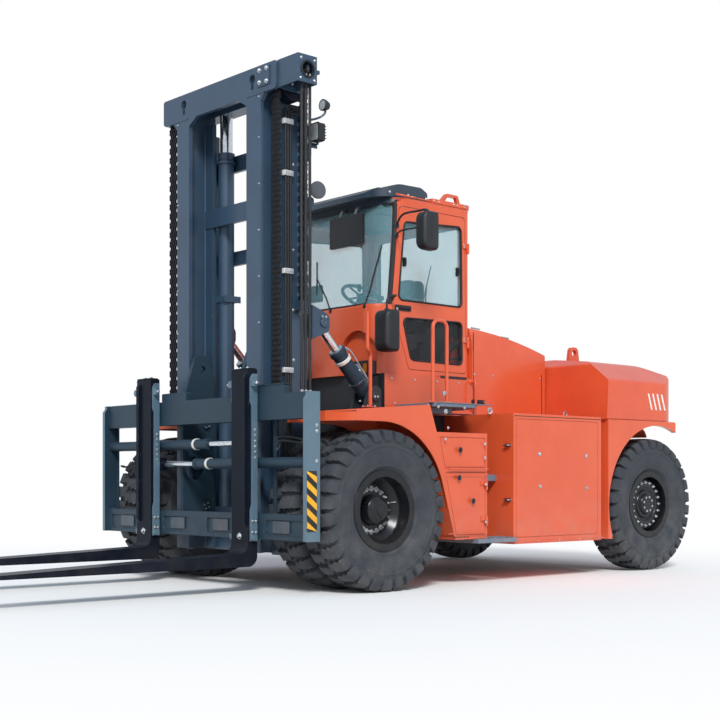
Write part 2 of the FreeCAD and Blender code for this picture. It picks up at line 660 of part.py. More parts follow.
def counterweight():
    """A cast block behind the hood, with a keel between the steered wheels and a shaft for the tow pin."""
    side = slab("weight_side", "xz", [
        (WEIGHT_FRONT, "weight_bottom"), (f"{WEIGHT_FRONT} - 35", "weight_top - 90", 40), (f"{WEIGHT_FRONT} - 160", "weight_top", 80),
        ("-wheelbase", "weight_top - 60", 500), ("-rear_reach + 90", "weight_top - 240", 140), ("-rear_reach", "weight_top - 420", 120),
        ("-rear_reach", "keel_bottom", 60), ("-wheelbase - 430", "keel_bottom", 40), ("-wheelbase - 430", "weight_bottom")],
        "-body_half", "body_half")
    front = slab("weight_face", "yz", both_ways([
        (700, "weight_top"), ("body_half - 270", "weight_top - 60", 200), ("body_half", "weight_top - 260", 60),
        ("body_half", "weight_bottom", 20), ("keel_half", "weight_bottom", 60), ("keel_half", "keel_bottom", 40)]),
        "-rear_reach - 10", f"{WEIGHT_FRONT} + 10")
    plan = slab("weight_plan", "xy", [
        (f"{WEIGHT_FRONT} + 10", "-body_half"), (f"{WEIGHT_FRONT} + 10", "body_half"), ("-rear_reach + 490", "body_half", 300),
        ("-rear_reach + 80", "body_half - 620", 200), ("-rear_reach", 600, 100), ("-rear_reach", -600, 100),
        ("-rear_reach + 80", "-body_half + 620", 200), ("-rear_reach + 490", "-body_half", 300)], 400, 2400)
    tow_room = block("tow_room", ("-rear_reach - 10", "-rear_reach + 200"), (-130, 130), ("tow_height - 130", "tow_height + 130"))
    tow_shaft = rod("tow_shaft", "z", ("-rear_reach + 80", 0, "tow_height + 100"), "tow_bore + 6", 1300)
    pockets = both(block("eye_pocket", ("eye_x - 90 - seat_gap", "eye_x + 90 + seat_gap"),
                         ("eye_y - eye_half - seat_gap", "eye_y + eye_half + seat_gap"), ("weight_top - 60 - seat_gap", "weight_top + 10")))
    piece("counterweight", cut("weight", common("weight_closed", side, front, plan), tow_room, tow_shaft, *pockets))


def lugs():
    """The tow coupling's jaws in the tail, and a lifting eye on each shoulder of the counterweight."""
    jaw = [("-rear_reach + 10", -90, 55), ("-rear_reach + 10", 90, 55), ("-rear_reach + 199.7", 128), ("-rear_reach + 199.7", -128)]
    closed = slab("tow_form", "xy", jaw, "tow_height - 110", "tow_height + 110")
    mouth = block("tow_mouth", ("-rear_reach - 10", "-rear_reach + 140"), (-200, 200), ("tow_height - 45", "tow_height + 45"))
    bore = rod("tow_hole", "z", ("-rear_reach + 80", 0, "tow_height - 200"), "tow_bore", 400)
    eye = slab("eye_form", "xz", [("eye_x - 90", "weight_top - 60", 10), ("eye_x - 60", "weight_top + 130", 50),
                                  ("eye_x + 60", "weight_top + 130", 50), ("eye_x + 90", "weight_top - 60", 10)],
               "eye_y - eye_half", "eye_y + eye_half")
    hole = rod("eye_hole", "y", ("eye_x", 700, "weight_top + 65"), "eye_bore", 300)
    piece("towing_lugs", cut("tow_coupling", closed, mouth, bore), *both(cut("lifting_eye", eye, hole)))


# ---------------------------------------------------------------- cab

def cab_form(name, inset, low="cab_floor", high="cab_roof"):
    """The cab's outer form, smaller by the inset at its sides: upright to the belt, leaning above it."""
    half, nose, tail = f"cab_half - ({inset})", f"cab_front - ({inset})", f"cab_rear + ({inset})"
    screen_round, rear_round = f"190 - ({inset})", f"60 - ({inset}) / 2"
    rate = "screen_lean / (cab_roof - belt)"
    foot = f"{nose} + {rate} * (belt - ({low}))"
    upright_form = slab(name + "_upright", "xy", [(tail, f"-({half})", rear_round), (nose, f"-({half})", screen_round),
                                                  (nose, half, screen_round), (tail, half, rear_round)], low, high)
    leaning_form = slab(name + "_leaning", "xy", [("cab_rear - 400", f"-({half})"), (foot, f"-({half})", screen_round),
                                                  (foot, half, screen_round), ("cab_rear - 400", half)],
                        low, high, lean=f"-{rate} * (({high}) - ({low}))")
    return common(name, upright_form, leaning_form)


def door_edge(grow):
    """The door's outline: its front edge follows the screen above and slopes back to the sill below."""
    return [
        (f"door_front - 225 + {grow}", f"door_low - {grow}", 40), (f"door_front - 2 + {grow}", "belt + 30", 120),
        (f"door_front - 118 + {grow}", f"door_high + {grow}", 40), (f"door_rear + 20 - {grow}", f"door_high + {grow}", 40),
        (f"door_rear - {grow}", f"door_low - {grow}", 40)]


UPPER_LIGHT = [("door_front - 85", "belt + 70", 45), ("door_front - 165", "door_high - 140", 45),
               ("door_rear + 70", "door_high - 95", 45), ("door_rear + 60", "belt + 70", 45)]
LOWER_LIGHT = [("door_front - 250", "door_low + 90", 60), ("door_front - 140", "belt - 95", 60),
               ("door_rear + 60", "belt - 80", 60), ("door_rear + 55", "door_low + 80", 60)]


DOOR_HINGES = ("door_low + 250", "door_high - 350")


def cab():
    closed = cab_form("cab_out", 0)
    hollow = cab_form("cab_in", "cab_wall", "cab_floor + 40", "cab_roof - 40")
    sides = slab("door_openings", "xz", door_edge("door_gap"), -1000, 1000)
    screen = slab("screen_opening", "xz", [(-300, "belt + 20"), ("door_front + 20", "belt + 20"),
                                           ("door_front - 88", "cab_roof - 60"), (-300, "cab_roof - 60")], -1000, 1000)
    rear = slab("rear_opening", "yz", both_ways([("cab_half - 130", "belt + 40", 60), ("cab_half - 130", "cab_roof - 160", 60)]),
                "cab_rear - 100", "cab_rear + 300")
    recess = both(rod("cowl_recess", "x", ("cab_front - 55", 440, 2110), 230, 200))
    recess_low = both(block("cowl_recess_low", ("cab_front - 55", "cab_front + 200"), (210, 670), (1900, 2110)))
    backing = both(rod("cowl_backing", "x", ("cab_front - 70", 440, 2110), 245, 16),
                   block("cowl_backing_low", ("cab_front - 70", "cab_front - 54"), (195, 685), ("cab_floor + 1", 2110)))
    open_shell = cut("cab_open", closed, hollow, sides, screen, rear)
    shell = fuse("cab_backed", cut("cab_recessed", open_shell, *recess, *recess_low), common("cab_backing", closed, fuse("backing", *backing)))
    hinges = both(*[rod(f"cab_knuckle_{height}", "z", ("door_rear - 14", "cab_half + 14", height), 14, 50)
                    for height in DOOR_HINGES])
    ears = both(*[block(f"cab_ear_{height}", ("door_rear - 25", "door_rear - 5"), ("cab_half - 5", "cab_half + 14"), (height, f"{height} + 50"))
                  for height in DOOR_HINGES])
    piece("cab_shell", fuse("cab_shell_solid", shell, *hinges, *ears))
    piece("cab_base", block("base", ("cab_rear + 1", -760), ("-hood_half", "hood_half"), ("body_top + seat_gap", "cab_floor - seat_gap")))


def doors():
    skin = cut("door_skin", cab_form("door_out", 0.5), cab_form("door_in", "cab_wall - 10"))
    side = slab("door_side", "xz", door_edge(0), 300, 1000)
    lights = [slab("upper_light", "xz", UPPER_LIGHT, 300, 1000), slab("lower_light", "xz", LOWER_LIGHT, 300, 1000)]
    leaf = cut("door_leaf", common("door_panel", skin, side), *lights)
    hinges = []
    for height in DOOR_HINGES:
        low, high = f"{height} + 50 + seat_gap", f"{height} + 100"
        hinges.append(rod(f"door_barrel_{height}", "z", ("door_rear - 14", "cab_half + 14", low), 14, 50))
        hinges.append(block(f"door_strap_{height}", ("door_rear - 14", "door_rear + 60"), ("cab_half + 2", "cab_half + 10"), (low, high)))
        hinges.append(block(f"door_pad_{height}", ("door_rear + 30", "door_rear + 60"), ("cab_half - 3", "cab_half + 4"), (low, high)))
    pair("door", fuse("door_solid", leaf, *hinges))
    panes = [slab(f"{name}_pane", "xz", shrunk(light), "cab_half - 24", "cab_half - 24 + glass")
             for name, light in (("upper", UPPER_LIGHT), ("lower", LOWER_LIGHT))]
    pair("door_glass", group("door_panes", *panes))


def shrunk(light):
    """A pane's outline, clear of its opening by the seat gap."""
    signs = ((-1, 1), (-1, -1), (1, -1), (1, 1))
    return [(f"{across} + {side} * seat_gap", f"{up} + {lift} * seat_gap", radius)
            for (across, up, radius), (side, lift) in zip(light, signs)]


def cab_glass():
    """The wrapped windscreen between the door pillars, and the rear window."""
    sheet_form = cut("screen_sheet", cab_form("screen_out", 8), cab_form("screen_in", "8 + glass"))
    reach = slab("screen_reach", "xz", [
        (-300, "belt + 20 + seat_gap"), ("door_front + 20 + seat_gap", "belt + 20 + seat_gap"),
        ("door_front - 88 + seat_gap", "cab_roof - 60 - seat_gap"), (-300, "cab_roof - 60 - seat_gap")], -1000, 1000)
    rear = slab("rear_pane", "yz", both_ways([("cab_half - 130 - seat_gap", "belt + 40 + seat_gap", 60),
                                              ("cab_half - 130 - seat_gap", "cab_roof - 160 - seat_gap", 60)]),
                "cab_rear + 12", "cab_rear + 12 + glass")
    piece("cab_glass", common("screen", sheet_form, reach), rear)


def cab_roof():
    """A louvred guard over the front half, a plain roof behind it and a lifting hoop on each side."""
    top = "cab_roof + seat_gap"
    guard_form = slab("guard_form", "xy", [(-1400, "-cab_half + 30", 40), (-780, "-cab_half + 30", 260), (-780, "cab_half - 30", 260),
                                           (-1400, "cab_half - 30", 40)], top, "cab_roof + 150")
    crown = slab("guard_crown", "xz", [(-1410, top), (-1410, "cab_roof + 70"), (-1290, "cab_roof + 130", 100),
                                       (-1000, "cab_roof + 125", 300), (-770, "cab_roof + 60", 60), (-770, top)], "-cab_half", "cab_half")
    room = slab("guard_room", "xy", [(-1360, "-cab_half + 80", 30), (-830, "-cab_half + 80", 220), (-830, "cab_half - 80", 220),
                                     (-1360, "cab_half - 80", 30)], "cab_roof + 1", "cab_roof + 300")
    louvres = []
    for count in range(7):
        louvres.append(slab(f"louvre_{count}", "xz", [
            (f"-1345 + {count} * 72", "cab_roof + 40"), (f"-1335 + {count} * 72", "cab_roof + 40"),
            (f"-1295 + {count} * 72", "cab_roof + 95"), (f"-1305 + {count} * 72", "cab_roof + 95")], "-cab_half + 70", "cab_half - 70"))
    ring = cut("guard_ring", common("guard_closed", guard_form, crown), room)
    slats = common("slats", group("louvres", *louvres), slab("slat_reach", "xy", [
        (-1365, "-cab_half + 75", 30), (-825, "-cab_half + 75", 220), (-825, "cab_half - 75", 220), (-1365, "cab_half - 75", 30)],
        top, "cab_roof + 200"))
    guard = fuse("guard", ring, slats)
    rear_top = slab("roof_rear", "xy", [("cab_rear - 12", "-cab_half - 8", 60), (-1402, "-cab_half - 8", 10), (-1402, "cab_half + 8", 10),
                                        ("cab_rear - 12", "cab_half + 8", 60)], top, "cab_roof + 40")
    hoops = both(cut("hoop", slab("hoop_form", "xz", [(-1900, "cab_roof + 39"), (-1860, "cab_roof + 145", 30), (-1700, "cab_roof + 145", 30),
                                                     (-1600, "cab_roof + 39")], "cab_half - 130", "cab_half - 90"),
                     slab("hoop_room", "xz", [(-1860, "cab_roof + 30"), (-1838, "cab_roof + 118", 20), (-1716, "cab_roof + 118", 20),
                                              (-1650, "cab_roof + 30")], "cab_half - 200", "cab_half")))
    piece("cab_roof", guard, fuse("roof_panel", rear_top, *hoops))


def cab_inside():
    floor = "cab_floor + 40 + seat_gap"
    pedestal = block("seat_pedestal", (-1650, -1250), (-200, 200), (floor, f"{floor} + 260"))
    cushion = slab("seat_cushion", "xz", [(-1700, f"{floor} + 260", 20), (-1180, f"{floor} + 260", 40), (-1170, f"{floor} + 400", 50),
                                          (-1700, f"{floor} + 370", 30)], -270, 270)
    back = slab("seat_back", "xz", [(-1640, f"{floor} + 340", 20), (-1700, f"{floor} + 1000", 50), (-1800, f"{floor} + 1000", 40),
                                    (-1760, f"{floor} + 330", 30)], -250, 250)
    rests = both(slab("arm_rest", "xz", [(-1740, f"{floor} + 560", 20), (-1340, f"{floor} + 600", 25), (-1340, f"{floor} + 540", 20),
                                         (-1740, f"{floor} + 490", 20)], 240, 310))
    piece("seat", fuse("seat_solid", pedestal, cushion, back, *rests))
    box = slab("dash", "xz", [(-830, floor), (-1010, floor), (-1060, f"{floor} + 560", 40), (-850, f"{floor} + 600", 40)], -180, 180)
    column = rod("column", "z", (0, 0, 0), 35, 330)
    wheel = doc.addObject("Part::Torus", "steering_ring")
    wheel.Radius1 = 200
    wheel.Radius2 = 16
    at(wheel, 0, 0, 310)
    spokes = [rod("spoke_across", "y", (0, -200, 310), 10, 400), rod("spoke_front", "x", (0, 0, 310), 10, 200)]
    top = fuse("steering_top", column, wheel, *spokes)
    top.Placement = FreeCAD.Placement(Vector(), Rotation(Vector(0, 1, 0), -28))
    at(top, -1000, 0, f"{floor} + 500")
    piece("steering_column", fuse("steering_column_solid", box, top))


def rounding(before, corner, after, radius):
    """Where an arc in a corner starts, its middle and where it ends."""
    back = (before - corner).normalize()
    ahead = (after - corner).normalize()
    half = math.acos(back.dot(ahead)) / 2
    reach = radius / math.tan(half)
    inward = (back + ahead).normalize()
    return corner + back * reach, corner + inward * (radius / math.sin(half) - radius), corner + ahead * reach


def bent_rail(name, points, radius):
    """A bent tube along straight runs with rounded corners."""
    path = [Vector(*[number(value) for value in point[:3]]) for point in points]
    edges, start = [], path[0]
    for before, corner, after, bend in zip(path, path[1:], path[2:], [point[3] for point in points[1:-1]]):
        arc = rounding(before, corner, after, bend)
        edges.append(Part.LineSegment(start, arc[0]).toShape())
        edges.append(Part.Arc(*arc).toShape())
        start = arc[2]
    edges.append(Part.LineSegment(start, path[-1]).toShape())
    spine = doc.addObject("Part::Feature", name + "_path")
    spine.Shape = Part.Wire(edges)
    ring = doc.addObject("Part::Circle", name + "_ring")
    ring.Radius = radius
    ring.Placement = FreeCAD.Placement(path[0], Rotation(Vector(0, 0, 1), path[1] - path[0]))
    tube = doc.addObject("Part::Sweep", name)
    tube.Sections = [ring]
    tube.Spine = spine
    tube.Solid = True
    return tube


def handrails():
    """Grab rails: a hoop by the step, a post at each front corner and a bar along the hood's foot."""
    hoop = bent_rail("hoop_rail", [(-900, 1240, "body_top + 80 + seat_gap"), (-900, 1240, "body_top + 830", 70), (-1080, 1240, "body_top + 830", 70),
                                   (-1080, 1240, "body_top + 80 + seat_gap")], 17)
    post = bent_rail("post_rail", [(-500, 840, "body_top + 34.3"), (-500, 840, "body_top + 520", 60), (-430, 880, "body_top + 560", 40), (-430, 880, "body_top + 900")], 17)
    grab = bent_rail("grab_rail", [(-1915, "hood_half + seat_gap", 1900), (-1915, "hood_half + 70", 1900, 30), (-1915, "hood_half + 70", 1640, 30),
                                   (-1915, "hood_half + seat_gap", 1640)], 12)
    piece("handrails", *both(hoop, post, grab))


def mirrors():
    """A round-backed mirror on two arms at each screen pillar, outside the door's swing, and a lower one ahead."""
    high = slab("mirror_high", "xy", [(-990, 1075, 60), (-1000, 1225, 60), (-830, 1215, 60), (-820, 1085, 60)], 3035, 3385)
    arms = [bent_rail("mirror_arm_high", [(-955, "cab_half - 14.8", 3330), (-900, 850, 3400, 60),
                                          (-905, 1150, 3405, 20), (-905, 1150, 3370)], 10),
            bent_rail("mirror_arm_low", [(-946, "cab_half - 11.8", 3230), (-885, 850, 3250, 60), (-905, 1095, 3250)], 8)]
    low = slab("mirror_low", "xy", [(-690, 800, 30), (-720, 990, 60), (-600, 1000, 60), (-560, 810, 40)], 2110, 2490)
    arm = bent_rail("mirror_arm_front", [(-875, "cab_half + 2.2", 2640), (-800, 860, 2640, 50), (-650, 900, 2600, 50), (-650, 900, 2480)], 10)
    piece("mirrors", *both(fuse("upper_mirror", high, *arms), fuse("lower_mirror", low, arm)))


def lamps():
    """A square headlamp on a pedestal at each side of the cab's foot, and lamp clusters on the tail."""
    housing = slab("lamp_housing", "yz", [(400, 1905, 20), (400, 2050, 20), (650, 2050, 20), (650, 1905, 20)], "cab_front - 53", -660)
    lens_room = slab("lamp_lens_room", "yz", [(425, 1930, 15), (425, 2025, 15), (530, 2025, 15), (530, 1930, 15)], -672, -650)
    pedestal = block("lamp_pedestal", ("cab_front - 53", -702), (375, 690), ("body_top + seat_gap", 1906))
    piece("lamps", *both(fuse("lamp_solid", cut("lamp_open", housing, lens_room), pedestal)))


# ---------------------------------------------------------------- mast

def upright(name, web, front, back, reach, low, high):
    """A rolled channel whose lips reach inwards from its web."""
    shape = [(front, reach), (front, web, 12), (back, web, 12), (back, reach), (f"{back} + rail_plate", reach),
             (f"{back} + rail_plate", f"{web} - rail_plate", 15), (f"{front} - rail_plate", f"{web} - rail_plate", 15),
             (f"{front} - rail_plate", reach)]
    return slab(name, "xy", shape, low, high)


def outer_mast():
    rail = upright("outer_rail", "outer_rail_out", 450, 130, "outer_rail_out - 105", "mast_bottom", "mast_top - 300")
    ring_y, ring_wide = "frame_half + 10", 100
    ring = rod("pivot_ring", "y", (0, ring_y, "tyre_radius"), "axle_tube + 60", ring_wide)
    arm = slab("pivot_arm", "xz", [(0, "tyre_radius - 150", 60), (0, "tyre_radius + 150", 60), (200, "tyre_radius + 330", 20),
                                   (200, "tyre_radius - 240", 20)], ring_y, "outer_rail_out")
    bore = rod("pivot_bore", "y", (0, 500, "tyre_radius"), "axle_tube + 0.06", 400)
    lug = cut("pivot_lug", fuse("pivot_lug_closed", ring, arm), bore)
    ties = [slab("tie_low", "yz", both_ways([("outer_rail_out - 20", "mast_bottom + 110"), ("outer_rail_out - 20", "mast_bottom")]), 131, 285),
            slab("tie_mid", "yz", both_ways([("outer_rail_out", 3090, 10), ("outer_rail_out", 2880, 60), ("inner_rail_out - 90", 2880, 60),
                                             (440, 2960, 60)]), 90, 131),
            slab("tie_top", "yz", both_ways([("outer_rail_out", 3990, 10), ("outer_rail_out", 3760, 60), ("inner_rail_out - 90", 3760, 60),
                                             (440, 3840, 60)]), 90, 131)]
    lug_form = [("tilt_eye_x - 70", "tilt_eye_z - 70", 60), ("tilt_eye_x - 70", "tilt_eye_z + 70", 60), (131, "tilt_eye_z + 150"),
                (131, "tilt_eye_z - 150")]
    eyes = both(slab("tilt_lug_in", "xz", lug_form, "tilt_y - 78", "tilt_y - 48"),
                slab("tilt_lug_out", "xz", lug_form, "tilt_y + 48", "tilt_y + 78"),
                rod("tilt_pin_bar", "y", ("tilt_eye_x", "tilt_y - 78", "tilt_eye_z"), "tilt_pin", 156))
    anchor = block("chain_anchor", (200, 290), ("outer_rail_out - 5", "chain_y + chain_width / 2"), (2420, "2500 - seat_gap"))
    brackets = [slab(f"rail_bracket_{height}", "xz", [(131, height, 10), (131, f"{height} + 160", 30), (60, f"{height} + 130", 20),
                                                     (60, f"{height} + 30", 20)], "outer_rail_out - 30", "outer_rail_out") for height in (1500, 3300)]
    piece("outer_mast", fuse("outer_mast_solid", *both(rail, lug, anchor, *brackets), *ties, *eyes))


def lift_cylinders():
    barrel = pipe("lift_barrel", "z", ("lift_x", "lift_y", 460), "lift_radius - 6", "lift_bar", 3540)
    foot = rod("lift_foot", "z", ("lift_x", "lift_y", 400), "lift_radius", 60)
    gland = pipe("lift_gland", "z", ("lift_x", "lift_y", 3940), "lift_radius", "lift_bar", 60)
    piece("lift_cylinders", *both(fuse("lift_tube", barrel, foot, gland)))
    piece("lift_rods", *both(rod("lift_rod", "z", ("lift_x", "lift_y", 480), "lift_bar - 0.05", "mast_top - 160 - seat_gap - 480")))


HEAD_LOW = "mast_top - crosshead_height"


def inner_mast():
    """The moving stage: two channels under a crosshead that holds the chain sheaves."""
    rail = upright("inner_rail", "inner_rail_out - rail_plate", "mast_front", 290, "inner_rail_out - 200", "mast_bottom + 20", HEAD_LOW)
    ear = slab("rail_ear", "xy", [("mast_front - rail_plate", "inner_rail_out - rail_plate - 20"), ("mast_front - rail_plate", "inner_rail_out", 8),
                                  ("mast_front", "inner_rail_out", 8), ("mast_front", "inner_rail_out - rail_plate - 20")],
               "mast_bottom + 20", HEAD_LOW)
    plate = slab("crosshead_plate", "yz", both_ways([
        ("crosshead_half", "mast_top", 25), ("crosshead_half", HEAD_LOW, 40), ("inner_rail_out + 60", HEAD_LOW, 20), ("inner_rail_out", f"{HEAD_LOW} - 70", 20),
        ("inner_rail_out - 200", f"{HEAD_LOW} - 70", 20), ("inner_rail_out - 320", HEAD_LOW, 60)]), 560, "mast_front")
    keyholes = both(rod("keyhole_round", "x", (500, 525, "mast_top - 95"), 42, 200),
                    slab("keyhole_slot", "yz", [(505, "mast_top - 190", 15), (505, "mast_top - 95"), (545, "mast_top - 95"),
                                                (545, "mast_top - 190", 15)], 500, 700))
    cap = block("crown_top", ("lift_x - 100", 561), ("-crosshead_half", "crosshead_half"), ("mast_top - 30", "mast_top"))
    crown = block("crown", ("lift_x - 100", "lift_x + 60"), (-700, 700), ("mast_top - 160", "mast_top - 30"))
    webs = both(block("crown_web", ("lift_x", 561), (560, 620), (HEAD_LOW, "mast_top - 30")),
                slab("sheave_plate", "xz", [("sheave_x - 100", "mast_top - 30"), ("sheave_x - 100", HEAD_LOW, 60), (561, HEAD_LOW, 60),
                                            (561, "mast_top - 30")], "crosshead_half - 10", "crosshead_half"),
                rod("sheave_axle", "y", ("sheave_x", 610, "mast_top - sheave_drop"), "sheave_pin", "crosshead_half - 610 + 5"))
    hose_box = cut("hose_box", block("hose_box_form", (373, 580), ("crosshead_half - 5", 1130), (HEAD_LOW + " + 5", "mast_top")),
                   block("hose_box_room", (385, 568), ("crosshead_half", 1140), (HEAD_LOW, "mast_top - 12")))
    hose_end = cut("hose_end", block("hose_end_form", (373, 580), (1118, 1130), (HEAD_LOW + " + 5", "mast_top")),
                   rod("hose_hole", "y", (476, 1100, "mast_top - 120"), 62, 60))
    ties = [block(f"inner_tie_{low}", (300, 338), ("-inner_rail_out + 60", "inner_rail_out - 60"), (low, f"{low} + 170")) for low in (520, 3300)]
    solid = fuse("inner_mast_closed", *both(rail, ear), plate, cap, crown, *webs, *ties, hose_box, hose_end)
    piece("inner_mast", cut("inner_mast_solid", solid, *keyholes))


def chains():
    """Leaf chains over a grooved sheave on each side: anchored to the outer mast, lifting the carriage."""
    disc = rod("sheave_disc", "y", ("sheave_x", "chain_y - chain_width / 2", "mast_top - sheave_drop"), "sheave_radius", "chain_width")
    dishes = [rod(f"sheave_dish_{side}", "y", ("sheave_x", start, "mast_top - sheave_drop"), "sheave_radius - 30", 14)
              for side, start in (("in", "chain_y - chain_width / 2 - 1"), ("out", "chain_y + chain_width / 2 - 13"))]
    boss = rod("sheave_boss", "y", ("sheave_x", "chain_y - chain_width / 2", "mast_top - sheave_drop"), 62, "chain_width")
    bore = rod("sheave_bore", "y", ("sheave_x", "chain_y - 80", "mast_top - sheave_drop"), "sheave_pin + 0.05", 160)
    piece("chain_sheaves", *both(cut("sheave", fuse("sheave_closed", cut("sheave_dished", disc, *dishes), boss), bore)))
    near, far = "sheave_x + sheave_radius + seat_gap", "sheave_x - sheave_radius - seat_gap"
    wide = ("chain_y - chain_width / 2", "chain_y + chain_width / 2")
    front = block("front_chain", (near, f"{near} + chain_plate"), wide, ("carriage_high + seat_gap", "mast_top - sheave_drop"))
    rear = block("rear_chain", (f"{far} - chain_plate", far), wide, (2500, "mast_top - sheave_drop"))
    piece("lift_chains_front", *both(front))
    piece("lift_chains_rear", *both(rear))


def mast_hoses():
    """Three hoses that hang from the crosshead's hose box to the carriage."""
    hoses = [rod(f"mast_hose_{count}", "z", (f"410 + {count} * 45", "hose_y", "carriage_high + seat_gap"), 13,
                 f"{HEAD_LOW} + 60 - carriage_high - seat_gap") for count in range(3)]
    piece("mast_hoses", *hoses)


# ---------------------------------------------------------------- carriage and forks

def carriage():
    inside = "carriage_half - 40"
    bars = [block("bar_high", ("carriage_back", "carriage_front"), ("-carriage_half", "carriage_half"),
                  ("carriage_high - carriage_bar", "carriage_high")),
            block("bar_low", ("carriage_back", "carriage_front"), ("-carriage_half", "carriage_half"), ("carriage_low", "carriage_low + carriage_bar"))]
    pads = both(*[slab(f"bar_pad_{count}", "yz", [(low, "carriage_low + 30", 20), (low, "carriage_low + 165", 20), (high, "carriage_low + 165", 20),
                                                  (high, "carriage_low + 30", 20)], "carriage_front - 12", "carriage_front + 10")
                  for count, (low, high) in enumerate(((130, 560), (980, f"{inside} - 60")))])
    ends = both(slab("end_plate", "xz", [("carriage_back", "carriage_low"), ("carriage_front + 45", "carriage_low", 10),
                                         ("carriage_front + 45", "carriage_high - 60", 10), ("carriage_front + 20", "carriage_high - 30", 10),
                                         ("carriage_front + 20", "carriage_high"), ("carriage_back", "carriage_high")], inside, "carriage_half"))
    cheek = slab("roller_plate", "xz", [
        (345, "carriage_low", 40), (345, 1900, 60), (420, 2090, 40), (560, 2090, 60), ("carriage_back + 1", "carriage_high"),
        ("carriage_back + 1", "carriage_low")], 390, 430)
    cheek_holes = [rod("cheek_hole", "y", (480, 300, 1960), 34, 200), rod("cheek_window", "y", (560, 300, 1050), 110, 200)]
    cheeks = both(cut("cheek", cheek, *cheek_holes),
                  *[rod(f"roller_{height}", "y", (445, 429, height), "roller_radius", 121) for height in (700, 1450)])
    lug_y = ("chain_y - chain_width / 2", "chain_y + chain_width / 2")
    chain_lugs = both(slab("chain_lug", "xz", [(500, "carriage_high"), (500, "carriage_high - 70", 20), ("carriage_back + 1", "carriage_high - 150"),
                                              ("carriage_back + 1", "carriage_high")], *lug_y))
    stays = both(*[block(f"carriage_stay_{count}", ("carriage_back - 8", "carriage_back + 1"), (low, f"{low} + 40"),
                         ("carriage_low", "carriage_high")) for count, low in enumerate((950, "carriage_half - 60"))])
    tray = block("hose_tray", (380, "carriage_back + 1"), ("hose_y - 60", "hose_y + 60"), ("carriage_high - 12", "carriage_high"))
    boxes = []
    for side, low, high in (("right", -587, -197), ("left", 854, 1218)):
        boxes.append(slab(f"hook_box_{side}", "yz", [(low, "carriage_high - 1"), (low, "carriage_high + 75", 15), (high, "carriage_high + 75", 15),
                                                    (high, "carriage_high - 1")], "carriage_front - 60", "carriage_front - 1"))
    solid = fuse("carriage_closed", *bars, *ends, *cheeks, *chain_lugs, *stays, tray, *boxes)
    piece("carriage", cut("carriage_solid", solid, *pads))
    barrels = [fuse(f"ram_{name}", pipe(f"{name}_barrel", "y", ("ram_x", start, height), "ram_radius", "ram_bar", f"{inside} + ram_overlap - 2 * seat_gap"),
                    pipe(f"{name}_gland", "y", ("ram_x", gland, height), "ram_radius + 7", "ram_bar", 40),
                    pipe(f"{name}_clamp", "y", ("ram_x", clamp, height), "ram_radius + 7", "ram_bar", 24))
               for name, start, gland, clamp, height in (
                   ("high", f"-({inside}) + seat_gap", "ram_overlap - 40 - seat_gap", -110, "ram_high"),
                   ("low", "-ram_overlap + seat_gap", "-ram_overlap + seat_gap", 90, "ram_low"))]
    piece("positioner_barrels", *barrels)


def fork(side, lug_height):
    """An L-shaped fork with a tapering blade, its hanger and the lug that its positioning rod pushes."""
    inner, outer = "fork_y - fork_width / 2", "fork_y + fork_width / 2"
    back, tip = "fork_face - fork_thick + seat_gap", "fork_face + fork_length"
    form = [(back, "fork_under", 90), (tip, "fork_under + 5", 10), (tip, "fork_under + fork_tip + 5", 8),
            ("fork_face", "fork_under + fork_heel", 90), ("fork_face", "fork_top", 12), (back, "fork_top", 12)]
    plan = slab(f"fork_plan_{side}", "xy", [(600, inner), (tip, inner, 60), (tip, outer, 60), (600, outer)], 100, 2000)
    blade = common(f"fork_blade_{side}", slab(f"fork_form_{side}", "xz", form, inner, outer), plan)
    rib = slab(f"fork_rib_{side}", "xz", [("fork_face - 1", "fork_under + 330"), ("fork_face + 22", "fork_under + 360", 8),
                                          ("fork_face + 22", "fork_top - 70", 8), ("fork_face - 1", "fork_top - 30")], f"{outer} - 60", f"{outer} - 20")
    lug = slab(f"fork_lug_{side}", "xz", [("ram_x - 30", f"{lug_height} - 60", 20), ("ram_x - 30", f"{lug_height} + 60", 20),
                                          (f"{back} + 1", f"{lug_height} + 60"), (f"{back} + 1", f"{lug_height} - 60")], inner, f"{inner} + 40")
    bar = rod(f"positioner_bar_{side}", "y", ("ram_x", -580, lug_height), "ram_bar - 0.05", f"{inner} + 580")
    solid = fuse(f"fork_solid_{side}", blade, rib, lug)
    if side == "right":
        solid, bar = mirrored(solid), mirrored(bar)
    piece("fork_" + side, solid)
    piece("positioner_rod_" + side, bar)


# ---------------------------------------------------------------- tilt cylinders

TILT_ANGLE = "atan2(tilt_eye_z - tilt_anchor_z; tilt_eye_x - tilt_anchor_x)"
TILT_LENGTH = "sqrt((tilt_eye_z - tilt_anchor_z) ^ 2 + (tilt_eye_x - tilt_anchor_x) ^ 2)"


def tilt_part(name, solid):
    """Lay a bar that was made along +X on the line from the anchor to the mast's eye."""
    holder = group(name, solid)
    holder.Placement = FreeCAD.Placement(Vector(), Rotation(Vector(0, 1, 0), -45))
    bind(holder, "Placement.Rotation.Angle", TILT_ANGLE)
    holder.Placement.Rotation.Axis = Vector(0, -1, 0)
    return at(holder, "tilt_anchor_x", "tilt_y", "tilt_anchor_z")


